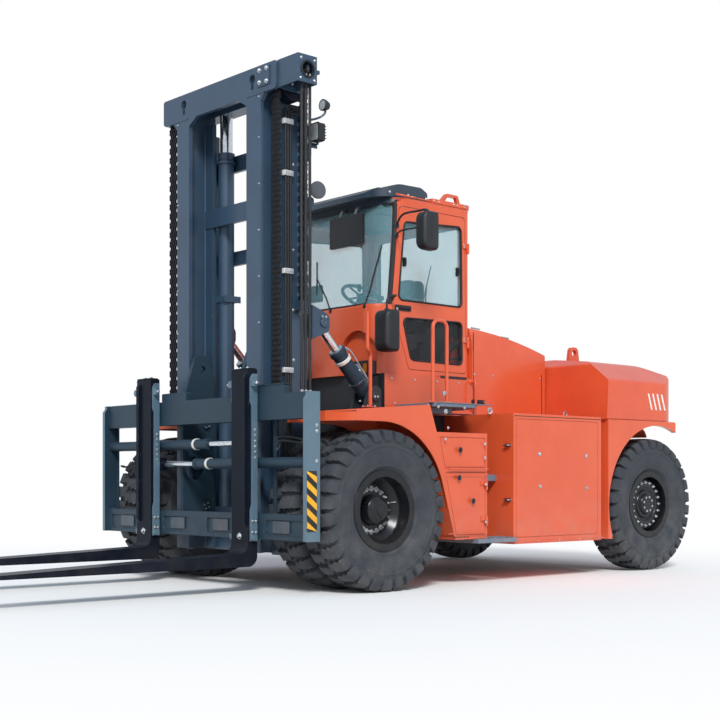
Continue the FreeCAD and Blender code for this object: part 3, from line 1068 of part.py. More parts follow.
def tilt_cylinders():
    low = "tilt_anchor_z + 100"
    cheek = [("tilt_anchor_x - 75", "body_top + seat_gap"), ("tilt_anchor_x - 75", low, 60), ("tilt_anchor_x + 75", low, 60),
             ("tilt_anchor_x + 150", "body_top + seat_gap")]
    foot = block("tilt_foot", ("tilt_anchor_x - 100", "tilt_anchor_x + 150"), ("tilt_y - 100", "fender_inner - 1"),
                 ("body_top + seat_gap", "body_top + 15"))
    piece("tilt_brackets", *both(fuse(
        "tilt_bracket", slab("tilt_cheek_in", "xz", cheek, "tilt_y - 100", "tilt_y - 75"),
        slab("tilt_cheek_out", "xz", cheek, "tilt_y + 75", "fender_inner - 1"), foot,
        rod("tilt_anchor_pin", "y", ("tilt_anchor_x", "tilt_y - 100", "tilt_anchor_z"), "tilt_pin", 195))))
    barrel = cut("tilt_tube", rod("tilt_tube_form", "x", (60, 0, 0), "tilt_barrel", 500), rod("tilt_tube_bore", "x", (100, 0, 0), "tilt_bar", 470))
    gland = pipe("tilt_gland", "x", (515, 0, 0), "tilt_barrel + 9", "tilt_bar", 45)
    tail = cut("tilt_tail", rod("tilt_tail_ring", "y", (0, "-75 + seat_gap", 0), 68, "150 - 2 * seat_gap"),
               rod("tilt_tail_hole", "y", (0, -80, 0), "tilt_pin + 0.05", 160))
    pair("tilt_barrel", tilt_part("tilt_barrel_laid", fuse("tilt_barrel_solid", barrel, gland, tail)))
    eye = rod("tilt_eye", "y", (TILT_LENGTH, -45, 0), 76, 90)
    hole = rod("tilt_hole", "y", (TILT_LENGTH, -50, 0), "tilt_pin + tilt_eye_play", 100)
    bar = rod("tilt_rod_bar", "x", (350, 0, 0), "tilt_bar - 0.05", f"{TILT_LENGTH} - 410")
    pair("tilt_rod", tilt_part("tilt_rod_laid", cut("tilt_rod_solid", fuse("tilt_rod_closed", bar, eye), hole)))


front_wheels()
rear_wheels()
drive_axle()
steer_axle()
steering()
chassis_frame()
fenders()
side_cabinets()
battery_boxes()
steps()
hood()
counterweight()
lugs()
cab()
doors()
cab_glass()
cab_roof()
cab_inside()
handrails()
mirrors()
lamps()
outer_mast()
lift_cylinders()
inner_mast()
chains()
mast_hoses()
carriage()
fork("left", "ram_high")
fork("right", "ram_low")
tilt_cylinders()

doc.recompute()
failed = [item.Name for item in doc.Objects if "Invalid" in item.State or "Error" in item.State]
if failed:
    raise SystemExit("failed: " + ", ".join(failed))
os.makedirs("parts", exist_ok=True)
for node in pieces:
    shape = node.Shape
    if shape.isNull() or not shape.isValid():
        raise SystemExit(f"{node.Label} has no valid shape")
    shape.exportStep(f"parts/{node.Label}.step")
    print(node.Label, len(shape.Solids), round(shape.Volume / 1e9, 4))
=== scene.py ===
import math
import bmesh
import bpy
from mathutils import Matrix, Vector


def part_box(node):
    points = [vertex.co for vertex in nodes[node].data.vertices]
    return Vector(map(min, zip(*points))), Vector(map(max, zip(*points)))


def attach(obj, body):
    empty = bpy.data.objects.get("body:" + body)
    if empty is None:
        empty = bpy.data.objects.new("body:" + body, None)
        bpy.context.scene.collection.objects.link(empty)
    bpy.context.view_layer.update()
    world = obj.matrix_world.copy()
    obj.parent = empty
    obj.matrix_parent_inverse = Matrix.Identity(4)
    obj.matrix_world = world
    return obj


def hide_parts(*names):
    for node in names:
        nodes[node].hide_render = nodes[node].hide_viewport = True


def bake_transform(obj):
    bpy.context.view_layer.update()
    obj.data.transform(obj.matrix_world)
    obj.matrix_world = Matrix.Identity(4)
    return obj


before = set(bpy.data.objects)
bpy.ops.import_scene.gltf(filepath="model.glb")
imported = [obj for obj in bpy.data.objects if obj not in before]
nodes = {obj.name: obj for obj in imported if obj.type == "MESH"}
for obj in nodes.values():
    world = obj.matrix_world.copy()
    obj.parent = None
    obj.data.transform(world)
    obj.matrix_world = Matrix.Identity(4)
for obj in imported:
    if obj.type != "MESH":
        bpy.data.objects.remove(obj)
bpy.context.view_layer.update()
scene = bpy.context.scene
mm = 0.001
tyreLow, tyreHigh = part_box("front_tyres_left")
axleX = (tyreLow.x + tyreHigh.x) / 2  # parts are placed in millimetres from the front axle and the floor
sides = (("left", 1), ("right", -1))
print("frame: loaded")


def at(x, y, z):
    return Vector((axleX + x * mm, y * mm, z * mm))


def on(x, y, z):  # the same place on the side that is being built, the left where sign is 1
    return at(x, sign * y, z)


def boxOf(node):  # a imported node's corners in millimetres from the front axle
    low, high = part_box(node)
    return [[(c.x - axleX) / mm, c.y / mm, c.z / mm] for c in (low, high)]


# shapes: small parts gathered in one mesh, which finishPiece turns into a piece

shape = bmesh.new()


def facing(across, first, second, depth):
    if across == "x":
        return at(depth, first, second)
    if across == "y":
        return at(first, depth, second)
    return at(first, second, depth)


def slab(across, outline, low, high, paint=0):  # a plate of any outline between two depths
    ends = [[shape.verts.new(facing(across, a, b, depth)) for a, b in outline]
            for depth in sorted((low, high))]
    faces = [shape.faces.new(end) for end in ends]
    count = len(outline)
    for here in range(count):
        there = (here + 1) % count
        faces.append(shape.faces.new((ends[0][here], ends[0][there], ends[1][there], ends[1][here])))
    for face in faces:
        face.material_index = paint


def block(low, high, paint=0):
    slab("z", [(low[0], low[1]), (high[0], low[1]), (high[0], high[1]), (low[0], high[1])], low[2],
         high[2], paint)


def sideSlab(outline, low, high, paint=0):  # a plate along the side that is being built
    slab("y", outline, sign * low, sign * high, paint)


def oval(centre, reach, corner, steps=5):  # outline of a rectangle with round corners
    outline = []
    corner = min(corner, *reach)
    for turn, (sideA, sideB) in enumerate(((1, 1), (-1, 1), (-1, -1), (1, -1))):
        for step in range(steps + 1):
            angle = math.radians(90) * (turn + step / steps)
            outline.append((centre[0] + sideA * (reach[0] - corner) + corner * math.cos(angle),
                            centre[1] + sideB * (reach[1] - corner) + corner * math.sin(angle)))
    return outline


def joinRings(here, there, paint):
    if len(here) == 1 and len(there) == 1:
        return
    count = max(len(here), len(there))
    for step in range(count):
        after = (step + 1) % count
        if len(here) == 1:
            corners = (here[0], there[step], there[after])
        elif len(there) == 1:
            corners = (here[step], there[0], here[after])
        else:
            corners = (here[step], there[step], there[after], here[after])
        shape.faces.new(corners).material_index = paint


def turned(profile, centre, along, steps=32, paint=0, closed=False, bare=False, spin=0.0):
    # profile: (distance along the axis, radius); its ends are capped flat unless it is closed or bare
    if not closed and not bare:
        first, last = [[(reach, 0)] if radius else [] for reach, radius in (profile[0], profile[-1])]
        profile = [*first, *profile, *last]
    turn = Vector((0, 0, 1)).rotation_difference(Vector(along)).to_matrix()
    rings = []
    for reach, radius in profile:
        if radius < 0.01:
            rings.append([shape.verts.new(centre + turn @ Vector((0, 0, reach * mm)))])
            continue
        ring = []
        for step in range(steps):
            angle = spin + 2 * math.pi * step / steps
            corner = Vector((radius * math.cos(angle), radius * math.sin(angle), reach)) * mm
            ring.append(shape.verts.new(centre + turn @ corner))
        rings.append(ring)
    for here, there in zip(rings, rings[1:] + (rings[:1] if closed else [])):
        joinRings(here, there, paint)


def tube(points, radius, edges=10, paint=0, closed=False):  # a round bar or hose along points in the frame
    count = len(points)
    rings = []
    normal = None
    for step, point in enumerate(points):
        before = points[(step - 1) % count] if closed or step else point
        after = points[(step + 1) % count] if closed or step < count - 1 else point
        ahead = (after - before).normalized()
        if normal is None:
            normal = ahead.orthogonal().normalized()
        normal = (normal - ahead * normal.dot(ahead)).normalized()
        other = ahead.cross(normal)
        angles = [2 * math.pi * number / edges for number in range(edges)]
        turns = [normal * math.cos(angle) + other * math.sin(angle) for angle in angles]
        rings.append([shape.verts.new(point + turn * radius * mm) for turn in turns])
    for here, there in zip(rings, rings[1:] + (rings[:1] if closed else [])):
        joinRings(here, there, paint)
    if not closed:
        for ring in (rings[0], rings[-1]):
            shape.faces.new(ring).material_index = paint


def eased(points, cuts=6):  # a smooth line through the given points
    line = []
    for step in range(len(points) - 1):
        a = points[max(step - 1, 0)]
        b, c = points[step], points[step + 1]
        d = points[min(step + 2, len(points) - 1)]
        for cut in range(cuts):
            t = cut / cuts
            curve = (2 * a - 5 * b + 4 * c - d) * t * t + (3 * b - a - 3 * c + d) * t ** 3
            line.append(0.5 * (2 * b + (c - a) * t + curve))
    line.append(points[-1])
    return line


def bolt(centre, along, size=20, paint=0, washer=True):  # hexagon head of that width, on its washer
    under = [(0, 0.82), (0.14, 0.82), (0.16, 0.7)] if washer else [(0, 0.6), (0.1, 0.6)]
    for profile, steps, spin in ((under, 16, 0.0), ([(0, 0.577), (0.52, 0.577), (0.62, 0.46)], 6, 0.3)):
        turned([(reach * size, radius * size) for reach, radius in profile], centre, along, steps,
               paint, spin=spin)


def sideBolts(spots, size, paint=0, washer=True):  # heads that look out to the side that is being built
    for spot in spots:
        bolt(on(*spot), (0, sign, 0), size, paint, washer)


def finishPiece(name, finishes, body, edge=0, smooth=35, stands=(), bends=None):
    global shape
    bmesh.ops.recalc_face_normals(shape, faces=shape.faces)
    mesh = bpy.data.meshes.new(name)
    shape.to_mesh(mesh)
    shape.free()
    shape = bmesh.new()
    piece = bpy.data.objects.new(name, mesh)
    scene.collection.objects.link(piece)
    for finish in finishes:
        mesh.materials.append(finish)
    mesh.shade_smooth()
    mesh.set_sharp_from_angle(angle=math.radians(smooth))
    if edge:
        soften = piece.modifiers.new("edges", "BEVEL")
        soften.width = edge * mm
        soften.segments = 2
        soften.limit_method = "ANGLE"
        soften.angle_limit = math.radians(40)
        soften.harden_normals = True
    if bends:
        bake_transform(piece)
    else:
        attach(piece, body)
    if stands:
        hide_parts(*stands)
    return piece


# finishes

def toLinear(hexColour):
    parts = [int(hexColour[i:i + 2], 16) / 255 for i in (1, 3, 5)]
    return [p / 12.92 if p <= 0.04045 else ((p + 0.055) / 1.055) ** 2.4 for p in parts] + [1.0]


def perMetre(sizeMm):  # texture scale for a pattern of that size
    return 1000 / sizeMm


def addNode(tree, kind, inputs, give=0, **settings):
    # an input that is a socket is linked, a hex colour is turned to linear, anything else is set as it is
    node = tree.nodes.new("ShaderNode" + kind)
    for name, value in settings.items():
        setattr(node, name, value)
    for name, value in inputs.items():
        if isinstance(value, bpy.types.NodeSocket):
            tree.links.new(value, node.inputs[name])
        else:
            node.inputs[name].default_value = toLinear(value) if isinstance(value, str) else value
    return node.outputs[give]


def newFinish(name):
    finish = bpy.data.materials.new(name)
    finish.use_nodes = True
    tree = finish.node_tree
    return finish, tree, tree.nodes["Principled BSDF"]


def wire(tree, shader, sockets):
    for name, source in sockets.items():
        tree.links.new(source, shader.inputs[name])


def patches(tree, place, sizeMm, low, high, detail=3.0, stretch=(1.0, 1.0, 1.0), most=1.0):
    # irregular patches of about that size, from 0 to most
    place = addNode(tree, "Mapping", {"Vector": place, "Scale": stretch})
    noise = addNode(tree, "TexNoise",
                    {"Vector": place, "Scale": perMetre(sizeMm), "Detail": detail, "Roughness": 0.6})
    return addNode(tree, "MapRange", {"Value": noise, 1: low, 2: high, 3: 0.0, 4: most})


def settled(tree, place, reach, amount):  # road dust: on faces that look up, and thicker near the ground
    normal = addNode(tree, "NewGeometry", {}, give=1)
    up = addNode(tree, "SeparateXYZ", {0: normal}, give=2)
    height = addNode(tree, "SeparateXYZ", {0: place}, give=2)
    lying = addNode(tree, "MapRange", {0: up, 1: 0.45, 2: 0.95, 3: 0.0, 4: 0.55 * amount})
    low = addNode(tree, "MapRange", {0: height, 1: reach, 2: 0.2, 3: 0.0, 4: 0.8 * amount})
    both = addNode(tree, "Math", {0: lying, 1: low}, operation="ADD")
    return addNode(tree, "Math", {0: both, 1: patches(tree, place, 160, 0.36, 0.68, 5.0)},
                   operation="MULTIPLY", use_clamp=True)


def sprayedSteel(look):
    # sheet and plate steel under sprayed enamel: even colour, a soft wavy gloss, chips at the edges and
    # dust where it lies
    finish, tree, shader = newFinish(look["name"])
    place = addNode(tree, "TexCoord", {}, give=3)
    soft = addNode(tree, "Bevel", {"Radius": look["edgeMm"] * mm}, samples=4)
    flat = addNode(tree, "NewGeometry", {}, give=1)
    turn = addNode(tree, "VectorMath", {0: soft, 1: flat}, give=1, operation="DOT_PRODUCT")
    rim = addNode(tree, "MapRange", {0: turn, 1: 0.995, 2: 0.9, 3: 0.0, 4: 1.0})
    flakes = patches(tree, place, look["chipMm"], look["chipFrom"], look["chipFrom"] + 0.06, 6.0)
    chips = addNode(tree, "Math", {0: rim, 1: flakes}, operation="MULTIPLY")
    cloud = patches(tree, place, look["cloudMm"], 0.3, 0.7)
    rain = patches(tree, place, 90, 0.52, 0.8, 4.0, (1.0, 1.0, 0.06), look["rain"])
    dust = settled(tree, place, look["dustReach"], look["dust"])
    colour = look["colour"]
    for share, layer in ((cloud, "shade"), (rain, "streak"), (dust, "dustColour"), (chips, "chip")):
        colour = addNode(tree, "Mix", {0: share, 6: colour, 7: look[layer]}, give=2, data_type="RGBA")
    worn = addNode(tree, "Math", {0: dust, 1: rain}, operation="ADD")
    rough = addNode(tree, "MapRange", {0: worn, 1: 0.0, 2: 1.0, 3: look["rough"], 4: look["rough"] + 0.35})
    # the spray's orange peel is under 3 mm; it is drawn at peelMm so that it shows at all
    peel = patches(tree, place, look["peelMm"], 0.2, 0.8, 2.0, most=0.12)
    waves = patches(tree, place, look["waveMm"], 0.2, 0.8, 1.0, most=0.5)
    surface = addNode(tree, "Math", {0: peel, 1: waves}, operation="ADD")
    bump = addNode(tree, "Bump", {"Strength": look["bump"], "Distance": 0.012, "Height": surface,
                                  "Normal": soft})
    wire(tree, shader, {"Base Color": colour, "Roughness": rough, "Normal": bump})
    for name, value in (("Coat Weight", look["coat"]), ("Coat Roughness", 0.12),
                        ("Specular IOR Level", look["shine"])):
        shader.inputs[name].default_value = value
    return finish


def bareSteel(look):
    # bright or plated steel: metal reflections broken by fine marks and a little grime
    finish, tree, shader = newFinish(look["name"])
    place = addNode(tree, "TexCoord", {}, give=3)
    marks = patches(tree, place, look["markMm"], 0.3, 0.7, 5.0)
    grime = patches(tree, place, look["grimeMm"], 0.5, 0.75, 5.0, most=look["grime"])
    colour = addNode(tree, "Mix", {0: grime, 6: look["colour"], 7: look["grimeColour"]}, give=2,
                     data_type="RGBA")
    rough = addNode(tree, "MapRange",
                    {0: marks, 1: 0.0, 2: 1.0, 3: look["rough"], 4: look["rough"] + look["roughRange"]})
    metal = addNode(tree, "MapRange", {0: grime, 1: 0.0, 2: 1.0, 3: 1.0, 4: 0.3})
    bump = addNode(tree, "Bump", {"Strength": 0.25, "Distance": 0.002, "Height": marks})
    wire(tree, shader, {"Base Color": colour, "Roughness": rough, "Metallic": metal, "Normal": bump})
    return finish


def mouldedRubber(look):
    # vulcanised rubber or moulded plastic: dull, slightly grained, greyed by dust in the hollows
    finish, tree, shader = newFinish(look["name"])
    place = addNode(tree, "TexCoord", {}, give=3)
    cloud = patches(tree, place, look["cloudMm"], 0.34, 0.7, 5.0)
    fine = patches(tree, place, look["grainMm"], 0.3, 0.7, 4.0)
    dust = settled(tree, place, look["dustReach"], look["dust"])
    colour = look["colour"]
    for share, layer in ((cloud, "shade"), (dust, "dustColour")):
        colour = addNode(tree, "Mix", {0: share, 6: colour, 7: look[layer]}, give=2, data_type="RGBA")
    rough = addNode(tree, "MapRange", {0: fine, 1: 0.0, 2: 1.0, 3: look["rough"], 4: look["rough"] + 0.15})
    bump = addNode(tree, "Bump", {"Strength": look["bump"], "Distance": 0.003, "Height": fine})
    wire(tree, shader, {"Base Color": colour, "Roughness": rough, "Normal": bump})
    return finish


def laminatedPane(look):
    # laminated safety glass, tinted: clear seen straight through, mirroring at a slant, with a film of dust
    finish, tree, shader = newFinish(look["name"])
    place = addNode(tree, "TexCoord", {}, give=3)
    film = patches(tree, place, 240, 0.35, 0.75, 5.0, most=look["film"])
    colour = addNode(tree, "Mix", {0: film, 6: look["colour"], 7: look["dustColour"]}, give=2,
                     data_type="RGBA")
    rough = addNode(tree, "MapRange", {0: film, 1: 0.0, 2: 1.0, 3: 0.03, 4: 0.3})
    slant = addNode(tree, "LayerWeight", {"Blend": 0.2}, give=1)
    solid = addNode(tree, "MapRange", {0: slant, 1: 0.0, 2: 1.0, 3: look["solid"], 4: 0.4})
    solid = addNode(tree, "Math", {0: solid, 1: film}, operation="ADD", use_clamp=True)
    wire(tree, shader, {"Base Color": colour, "Roughness": rough, "Alpha": solid})
    shader.inputs["IOR"].default_value = 1.52
    return finish


enamel = dict(dustColour="#a8988c", dust=0.3, dustReach=0.9, chip="#6d5a54", chipMm=60, chipFrom=0.6,
              cloudMm=420, rain=0.10, edgeMm=5, rough=0.3, peelMm=22, waveMm=420, bump=0.18,
              coat=0.35, shine=0.5)
orangeEnamel = sprayedSteel(enamel | dict(name="orange enamel", colour="#dc5c35", shade="#d5552f",
                                          streak="#b85033"))
castEnamel = sprayedSteel(enamel | dict(name="orange enamel on cast iron", colour="#dc5730", shade="#d04e2b",
                                        streak="#b0482d", peelMm=14, bump=0.4, rough=0.36))
mastEnamel = sprayedSteel(enamel | dict(name="slate blue mast enamel", colour="#32495f", shade="#2d4256",
                                        streak="#303b45", chip="#8d8f90", rough=0.4, coat=0.15, dust=0.25))
carriageEnamel = sprayedSteel(enamel | dict(name="slate blue carriage enamel", colour="#273c4b",
                                            shade="#233643", streak="#252f37", chip="#85888a", rough=0.42,
                                            coat=0.0, dust=0.1, shine=0.3))
# a lighter copy of the slate enamel: painted light for side faces turned to the key light
sideLitSlateEnamel = sprayedSteel(enamel | dict(name="slate blue enamel lightened as painted light", colour="#5b7584", shade="#526b7a",
                                          streak="#48535c", chip="#8d8f90", rough=0.4, coat=0.15, dust=0.15))
forkEnamel = sprayedSteel(enamel | dict(name="black fork enamel", colour="#0e131d", shade="#131925",
                                        streak="#1d232d", chip="#55585d", chipFrom=0.58, rough=0.36,
                                        coat=0.0, dust=0.05, dustReach=0.6, shine=0.1))
chassisEnamelAndShade = sprayedSteel(enamel | dict(name="black chassis enamel and painted shade", colour="#202227", shade="#282b30",
                                         streak="#3b3a39", chip="#5c5d5f", rough=0.5, coat=0.0, dust=0.6,
                                         dustReach=1.1))
rimEnamel = sprayedSteel(enamel | dict(name="gloss black rim enamel", colour="#101216", shade="#16181d",
                                       streak="#33343a", chip="#6d6f73", rough=0.28, coat=0.1, dust=0.06,
                                       dustReach=1.3, shine=0.3))
guardEnamel = sprayedSteel(enamel | dict(name="blue-black guard enamel", colour="#293a49", shade="#253440",
                                         streak="#3d4652", chip="#7d8288", rough=0.35, coat=0.3))
stepEnamel = sprayedSteel(enamel | dict(name="grey step enamel", colour="#6f7d8c", shade="#647180",
                                        streak="#555d66", chip="#9b9fa3", rough=0.5, coat=0.0, dust=0.6))
yellowEnamel = sprayedSteel(enamel | dict(name="yellow hazard enamel", colour="#f6b300", shade="#eba800",
                                          streak="#b98a2a", dust=0.1, chip="#5b5f63"))
redEnamel = sprayedSteel(enamel | dict(name="red enamel", colour="#c01f1c", shade="#b51b19",
                                       streak="#8e2019"))
whiteEnamel = sprayedSteel(enamel | dict(name="white enamel", colour="#e6e4df", shade="#dedcd6",
                                         streak="#b9b5ad"))

steel = dict(colour="#c3c6c9", grimeColour="#4b4540", grimeMm=45, grime=0.5, markMm=9, rough=0.28,
             roughRange=0.2)
zincPlate = bareSteel(steel | dict(name="zinc-plated steel"))
hardChrome = bareSteel(steel | dict(name="hard chrome", colour="#d9dcdf", rough=0.08, roughRange=0.1,
                                    grime=0.25, markMm=30))
oiledSteel = bareSteel(steel | dict(name="oiled chain steel", colour="#3a3c40", grime=0.8,
                                    grimeColour="#15130f", rough=0.4))
mirrorGlass = bareSteel(steel | dict(name="silvered mirror glass", colour="#e4e9ec", rough=0.03,
                                     roughRange=0.03, grime=0.12, grimeMm=120))

rubber = dict(cloudMm=130, grainMm=10, dust=0.75, dustReach=1.5, rough=0.72, bump=0.35, dustColour="#7d766e")
tyreRubber = mouldedRubber(rubber | dict(name="vulcanised tyre rubber", colour="#2d3138", shade="#353940",
                                         dust=0.4, dustColour="#75736f"))
hoseRubber = mouldedRubber(rubber | dict(name="hose rubber", colour="#17181b", shade="#202226", dust=0.25,
                                         rough=0.5, grainMm=6))
sealRubberAndGapShade = mouldedRubber(rubber | dict(name="black seal rubber and painted gap shade", colour="#0f1114", shade="#15171b",
                                         dust=0.2, rough=0.5, grainMm=7))
blackPlasticAndShade = mouldedRubber(rubber | dict(name="black moulded plastic and painted shade", colour="#16181c", shade="#1c1f24",
                                           dust=0.2, rough=0.42, grainMm=6, bump=0.2))
greyPlastic = mouldedRubber(rubber | dict(name="grey moulded plastic", colour="#4a4e54", shade="#53575e",
                                          dust=0.2, rough=0.45))

cabPane = laminatedPane(dict(name="tinted laminated glass", colour="#8cc4d0", dustColour="#b4cbce",
                             film=0.02, solid=0.2))
smokedPane = laminatedPane(dict(name="smoked laminated glass", colour="#23282c", dustColour="#8d8f90",
                                film=0.02, solid=0.3))
lampPane = laminatedPane(dict(name="clear lamp lens", colour="#e8eef0", dustColour="#c9cdc9",
                              film=0.1, solid=0.35))
redLens = laminatedPane(dict(name="red lamp lens", colour="#b3120f", dustColour="#8f4038",
                             film=0.1, solid=0.8))
amberLens = laminatedPane(dict(name="amber lamp lens", colour="#e07a10", dustColour="#9a7040",
                               film=0.1, solid=0.8))


def wovenCloth(look):
    # flat-woven polyester seat cloth: soft sheen at grazing angles over a fine weave
    finish, tree, shader = newFinish(look["name"])
    place = addNode(tree, "TexCoord", {}, give=3)
    # the yarn is about 1 mm; it is drawn at yarnMm so that it shows
    yarn = {"Vector": place, "Scale": perMetre(look["yarnMm"]) / 6, "Distortion": 0.6}
    warp, weft = [addNode(tree, "TexWave", yarn, give=1, bands_direction=run) for run in "YX"]
    weave = addNode(tree, "Math", {0: warp, 1: weft}, operation="MULTIPLY")
    wear = patches(tree, place, 110, 0.35, 0.7, 4.0)
    colour = addNode(tree, "Mix", {0: wear, 6: look["colour"], 7: look["shade"]}, give=2, data_type="RGBA")
    bump = addNode(tree, "Bump", {"Strength": 0.4, "Distance": 0.002, "Height": weave})
    wire(tree, shader, {"Base Color": colour, "Normal": bump})
    shader.inputs["Roughness"].default_value = 0.9
    shader.inputs["Sheen Weight"].default_value = 0.3
    return finish


seatCloth = wovenCloth(dict(name="woven seat cloth", colour="#2b2d31", shade="#36393f", yarnMm=5))
seatTrim = wovenCloth(dict(name="grey seat cloth", colour="#4d5158", shade="#585d64", yarnMm=5))


def glowingLens(look):  # lamp reflector: a bright pressed bowl behind the lens
    finish, tree, shader = newFinish(look["name"])
    place = addNode(tree, "TexCoord", {}, give=3)
    flutes = patches(tree, place, 14, 0.3, 0.7, 2.0, (1.0, 1.0, 0.2))
    colour = addNode(tree, "Mix", {0: flutes, 6: "#cdd2d6", 7: "#eef0f2"}, give=2, data_type="RGBA")
    bump = addNode(tree, "Bump", {"Strength": 0.5, "Distance": 0.003, "Height": flutes})
    wire(tree, shader, {"Base Color": colour, "Normal": bump})
    shader.inputs["Metallic"].default_value = 0.8
    shader.inputs["Roughness"].default_value = 0.15
    return finish


reflector = glowingLens(dict(name="pressed lamp reflector"))
print("finishes: made")


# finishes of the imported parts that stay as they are

def finishNode(node, *finishes, choose=None):
    # choose says which finish a face gets, from its middle in millimetres and its normal
    mesh = nodes[node].data
    mesh.materials.clear()
    for finish in finishes:
        mesh.materials.append(finish)
    for face in mesh.polygons:
        x, y, z = (face.center - at(0, 0, 0)) / mm
        face.material_index = choose(x, y, z, face.normal) if choose else 0


tiltPinHeight, tiltEye = 2330, 78  # the tilt rod's pin on the mast and the reach of its eye
plainFinishes = {
    orangeEnamel: ["fenders", "side_cabinets", "cabinet_door_left", "cabinet_door_right", "battery_boxes",
                   "hood", "door_left", "door_right", "handrails"],
    castEnamel: ["counterweight", "towing_lugs"],
    mastEnamel: ["outer_mast", "inner_mast", "lift_cylinders"],
    carriageEnamel: ["tilt_barrel_left", "tilt_barrel_right"],
    forkEnamel: ["fork_left", "fork_right", "chain_sheaves"],
    chassisEnamelAndShade: ["chassis_frame", "battery_pack", "drive_axle", "steer_axle", "steer_ram", "knuckle_left",
                  "knuckle_right", "steer_link_left", "steer_link_right", "tilt_brackets"],
    rimEnamel: ["front_rims_left", "front_rims_right", "rear_rim_left", "rear_rim_right"],
    stepEnamel: ["steps"],
    hardChrome: ["positioner_rod_left", "positioner_rod_right", "lift_rods", "steer_rod"],
    blackPlasticAndShade: ["lamps", "steering_column"],
    cabPane: ["cab_glass"],
}
for finish, names in plainFinishes.items():
    for name in names:
        finishNode(name, finish)
# the end plates get a lighter copy of the slate enamel than the bars between them: painted light on the
# faces turned to the key light
finishNode("carriage", carriageEnamel, sideLitSlateEnamel,
           choose=lambda x, y, z, normal: 1 if abs(y) > 1521 else 0)
finishNode("cab_roof", guardEnamel, orangeEnamel, choose=lambda x, y, z, normal: 1 if x < -1401 else 0)
# the header over the screen is dark like the guard
finishNode("cab_shell", orangeEnamel, guardEnamel,
           choose=lambda x, y, z, normal: 1 if z > 3545 and x > -1000 else 0)
# the cab base's faces that look forward, under the cowl, and those that look down get the black enamel:
# painted shade on faces turned from the light
finishNode("cab_base", orangeEnamel, chassisEnamelAndShade,
           choose=lambda x, y, z, normal: 1 if normal.x > 0.9 or normal.z < -0.9 else 0)
for side in ("left", "right"):
    # the lower light of each door is smoked
    finishNode("door_glass_" + side, cabPane, smokedPane,
               choose=lambda x, y, z, normal: 1 if z < 2520 else 0)
    # the tilt rod is chromed, its end eye is painted
    finishNode("tilt_rod_" + side, hardChrome, mastEnamel,
               choose=lambda x, y, z, normal: 1 if math.hypot(x, z - tiltPinHeight) < tiltEye else 0)
print("packed parts: finished")


# tyres: heavy industrial cross-ply with deep shoulder lugs

wheelCentre, rearAxle = 685, -3890  # height of the wheels, and the steered axle behind the front one
lugCount = 30
# across the tread from the middle out and over the shoulder: (distance from the middle, radius)
lugTop = [(4, 685), (30, 685), (62, 684.5), (96, 683), (128, 680), (154, 674), (171, 662), (182, 640),
          (186.5, 612), (184, 584)]
lugFoot = [(4, 650), (30, 650), (62, 649.5), (96, 648), (126, 645), (144, 640), (158, 628), (168, 610),
           (174, 594), (176, 576)]
# how far each station's edges stand forward and back along the tread, as shares of a pitch
lugZigzag = [0.34, 0.10, 0.28, -0.02, 0.16, -0.06, 0.02, 0.0, 0.0, 0.0]
lugSpan = [0.20, 0.31, 0.25, 0.34, 0.29, 0.35, 0.34, 0.33, 0.30, 0.24]
sidewall = [(127, 306), (128, 350), (146, 372), (152, 376), (150, 384), (160, 410), (170, 450), (176, 500),
            (177, 530), (181, 536), (181, 546), (177, 552), (175, 576), (166, 606), (150, 632), (126, 643),
            (62, 648), (0, 649)]


def addTyre(x, y, mirror):
    profile = sidewall + [(-across, radius) for across, radius in reversed(sidewall[:-1])]
    turned(profile, at(x, y, wheelCentre), (0, 1, 0), 120, closed=True)
    pitch = 2 * math.pi / lugCount

    def onTread(angle, across, radius):
        return shape.verts.new(at(x + radius * math.sin(angle), y + across,
                                  wheelCentre + radius * math.cos(angle)))

    for side in (1, -1):
        for lug in range(lugCount):
            start = pitch * (lug + (0.5 if side < 0 else 0.0))
            stations = []
            for station, (top, foot) in enumerate(zip(lugTop, lugFoot)):
                middle = start + mirror * side * lugZigzag[station] * pitch * 0.5
                reach = lugSpan[station] * pitch
                ring = []
                for share, (across, radius) in ((-1.12, foot), (-1, top), (-0.33, top), (0.33, top),
                                                (1, top), (1.12, foot)):
                    ring.append(onTread(middle + share * reach, side * across, radius))
                stations.append(ring)
            for here, there in zip(stations, stations[1:]):
                for a, b in zip(range(6), (1, 2, 3, 4, 5, 0)):
                    shape.faces.new((here[a], here[b], there[b], there[a]))
            shape.faces.new(stations[0])
            shape.faces.new(stations[-1])
    # the tie blocks in the middle of the tread join the two rows
    for lug in range(lugCount):
        start = pitch * (lug + 0.25)
        corners = []
        for turnShare, across in ((-0.16, -26), (0.10, -26), (0.16, 26), (-0.10, 26)):
            corners += [onTread(start + turnShare * pitch * mirror, across, radius) for radius in (646, 668)]
        for face in ((1, 3, 5, 7), (0, 1, 3, 2), (2, 3, 5, 4), (4, 5, 7, 6), (6, 7, 1, 0), (0, 2, 4, 6)):
            shape.faces.new([corners[i] for i in face])


wheelSets = {
    "TyresFrontLeft": ("front_wheel_left", "front_tyres_left", (0, (1007, 1437))),
    "TyresFrontRight": ("front_wheel_right", "front_tyres_right", (0, (-1007, -1437))),
    "TyreRearLeft": ("rear_wheel_left", "rear_tyre_left", (rearAxle, (1312,))),
    "TyreRearRight": ("rear_wheel_right", "rear_tyre_right", (rearAxle, (-1312,))),
}
for name, (body, node, (x, ys)) in wheelSets.items():
    for y in ys:
        addTyre(x, y, 1 if y > 0 else -1)
    finishPiece("lugged" + name, [tyreRubber], body, smooth=28, stands=[node])
print("tyres: made")


# wheel hardware: stud nuts, hub cover bolts, valves

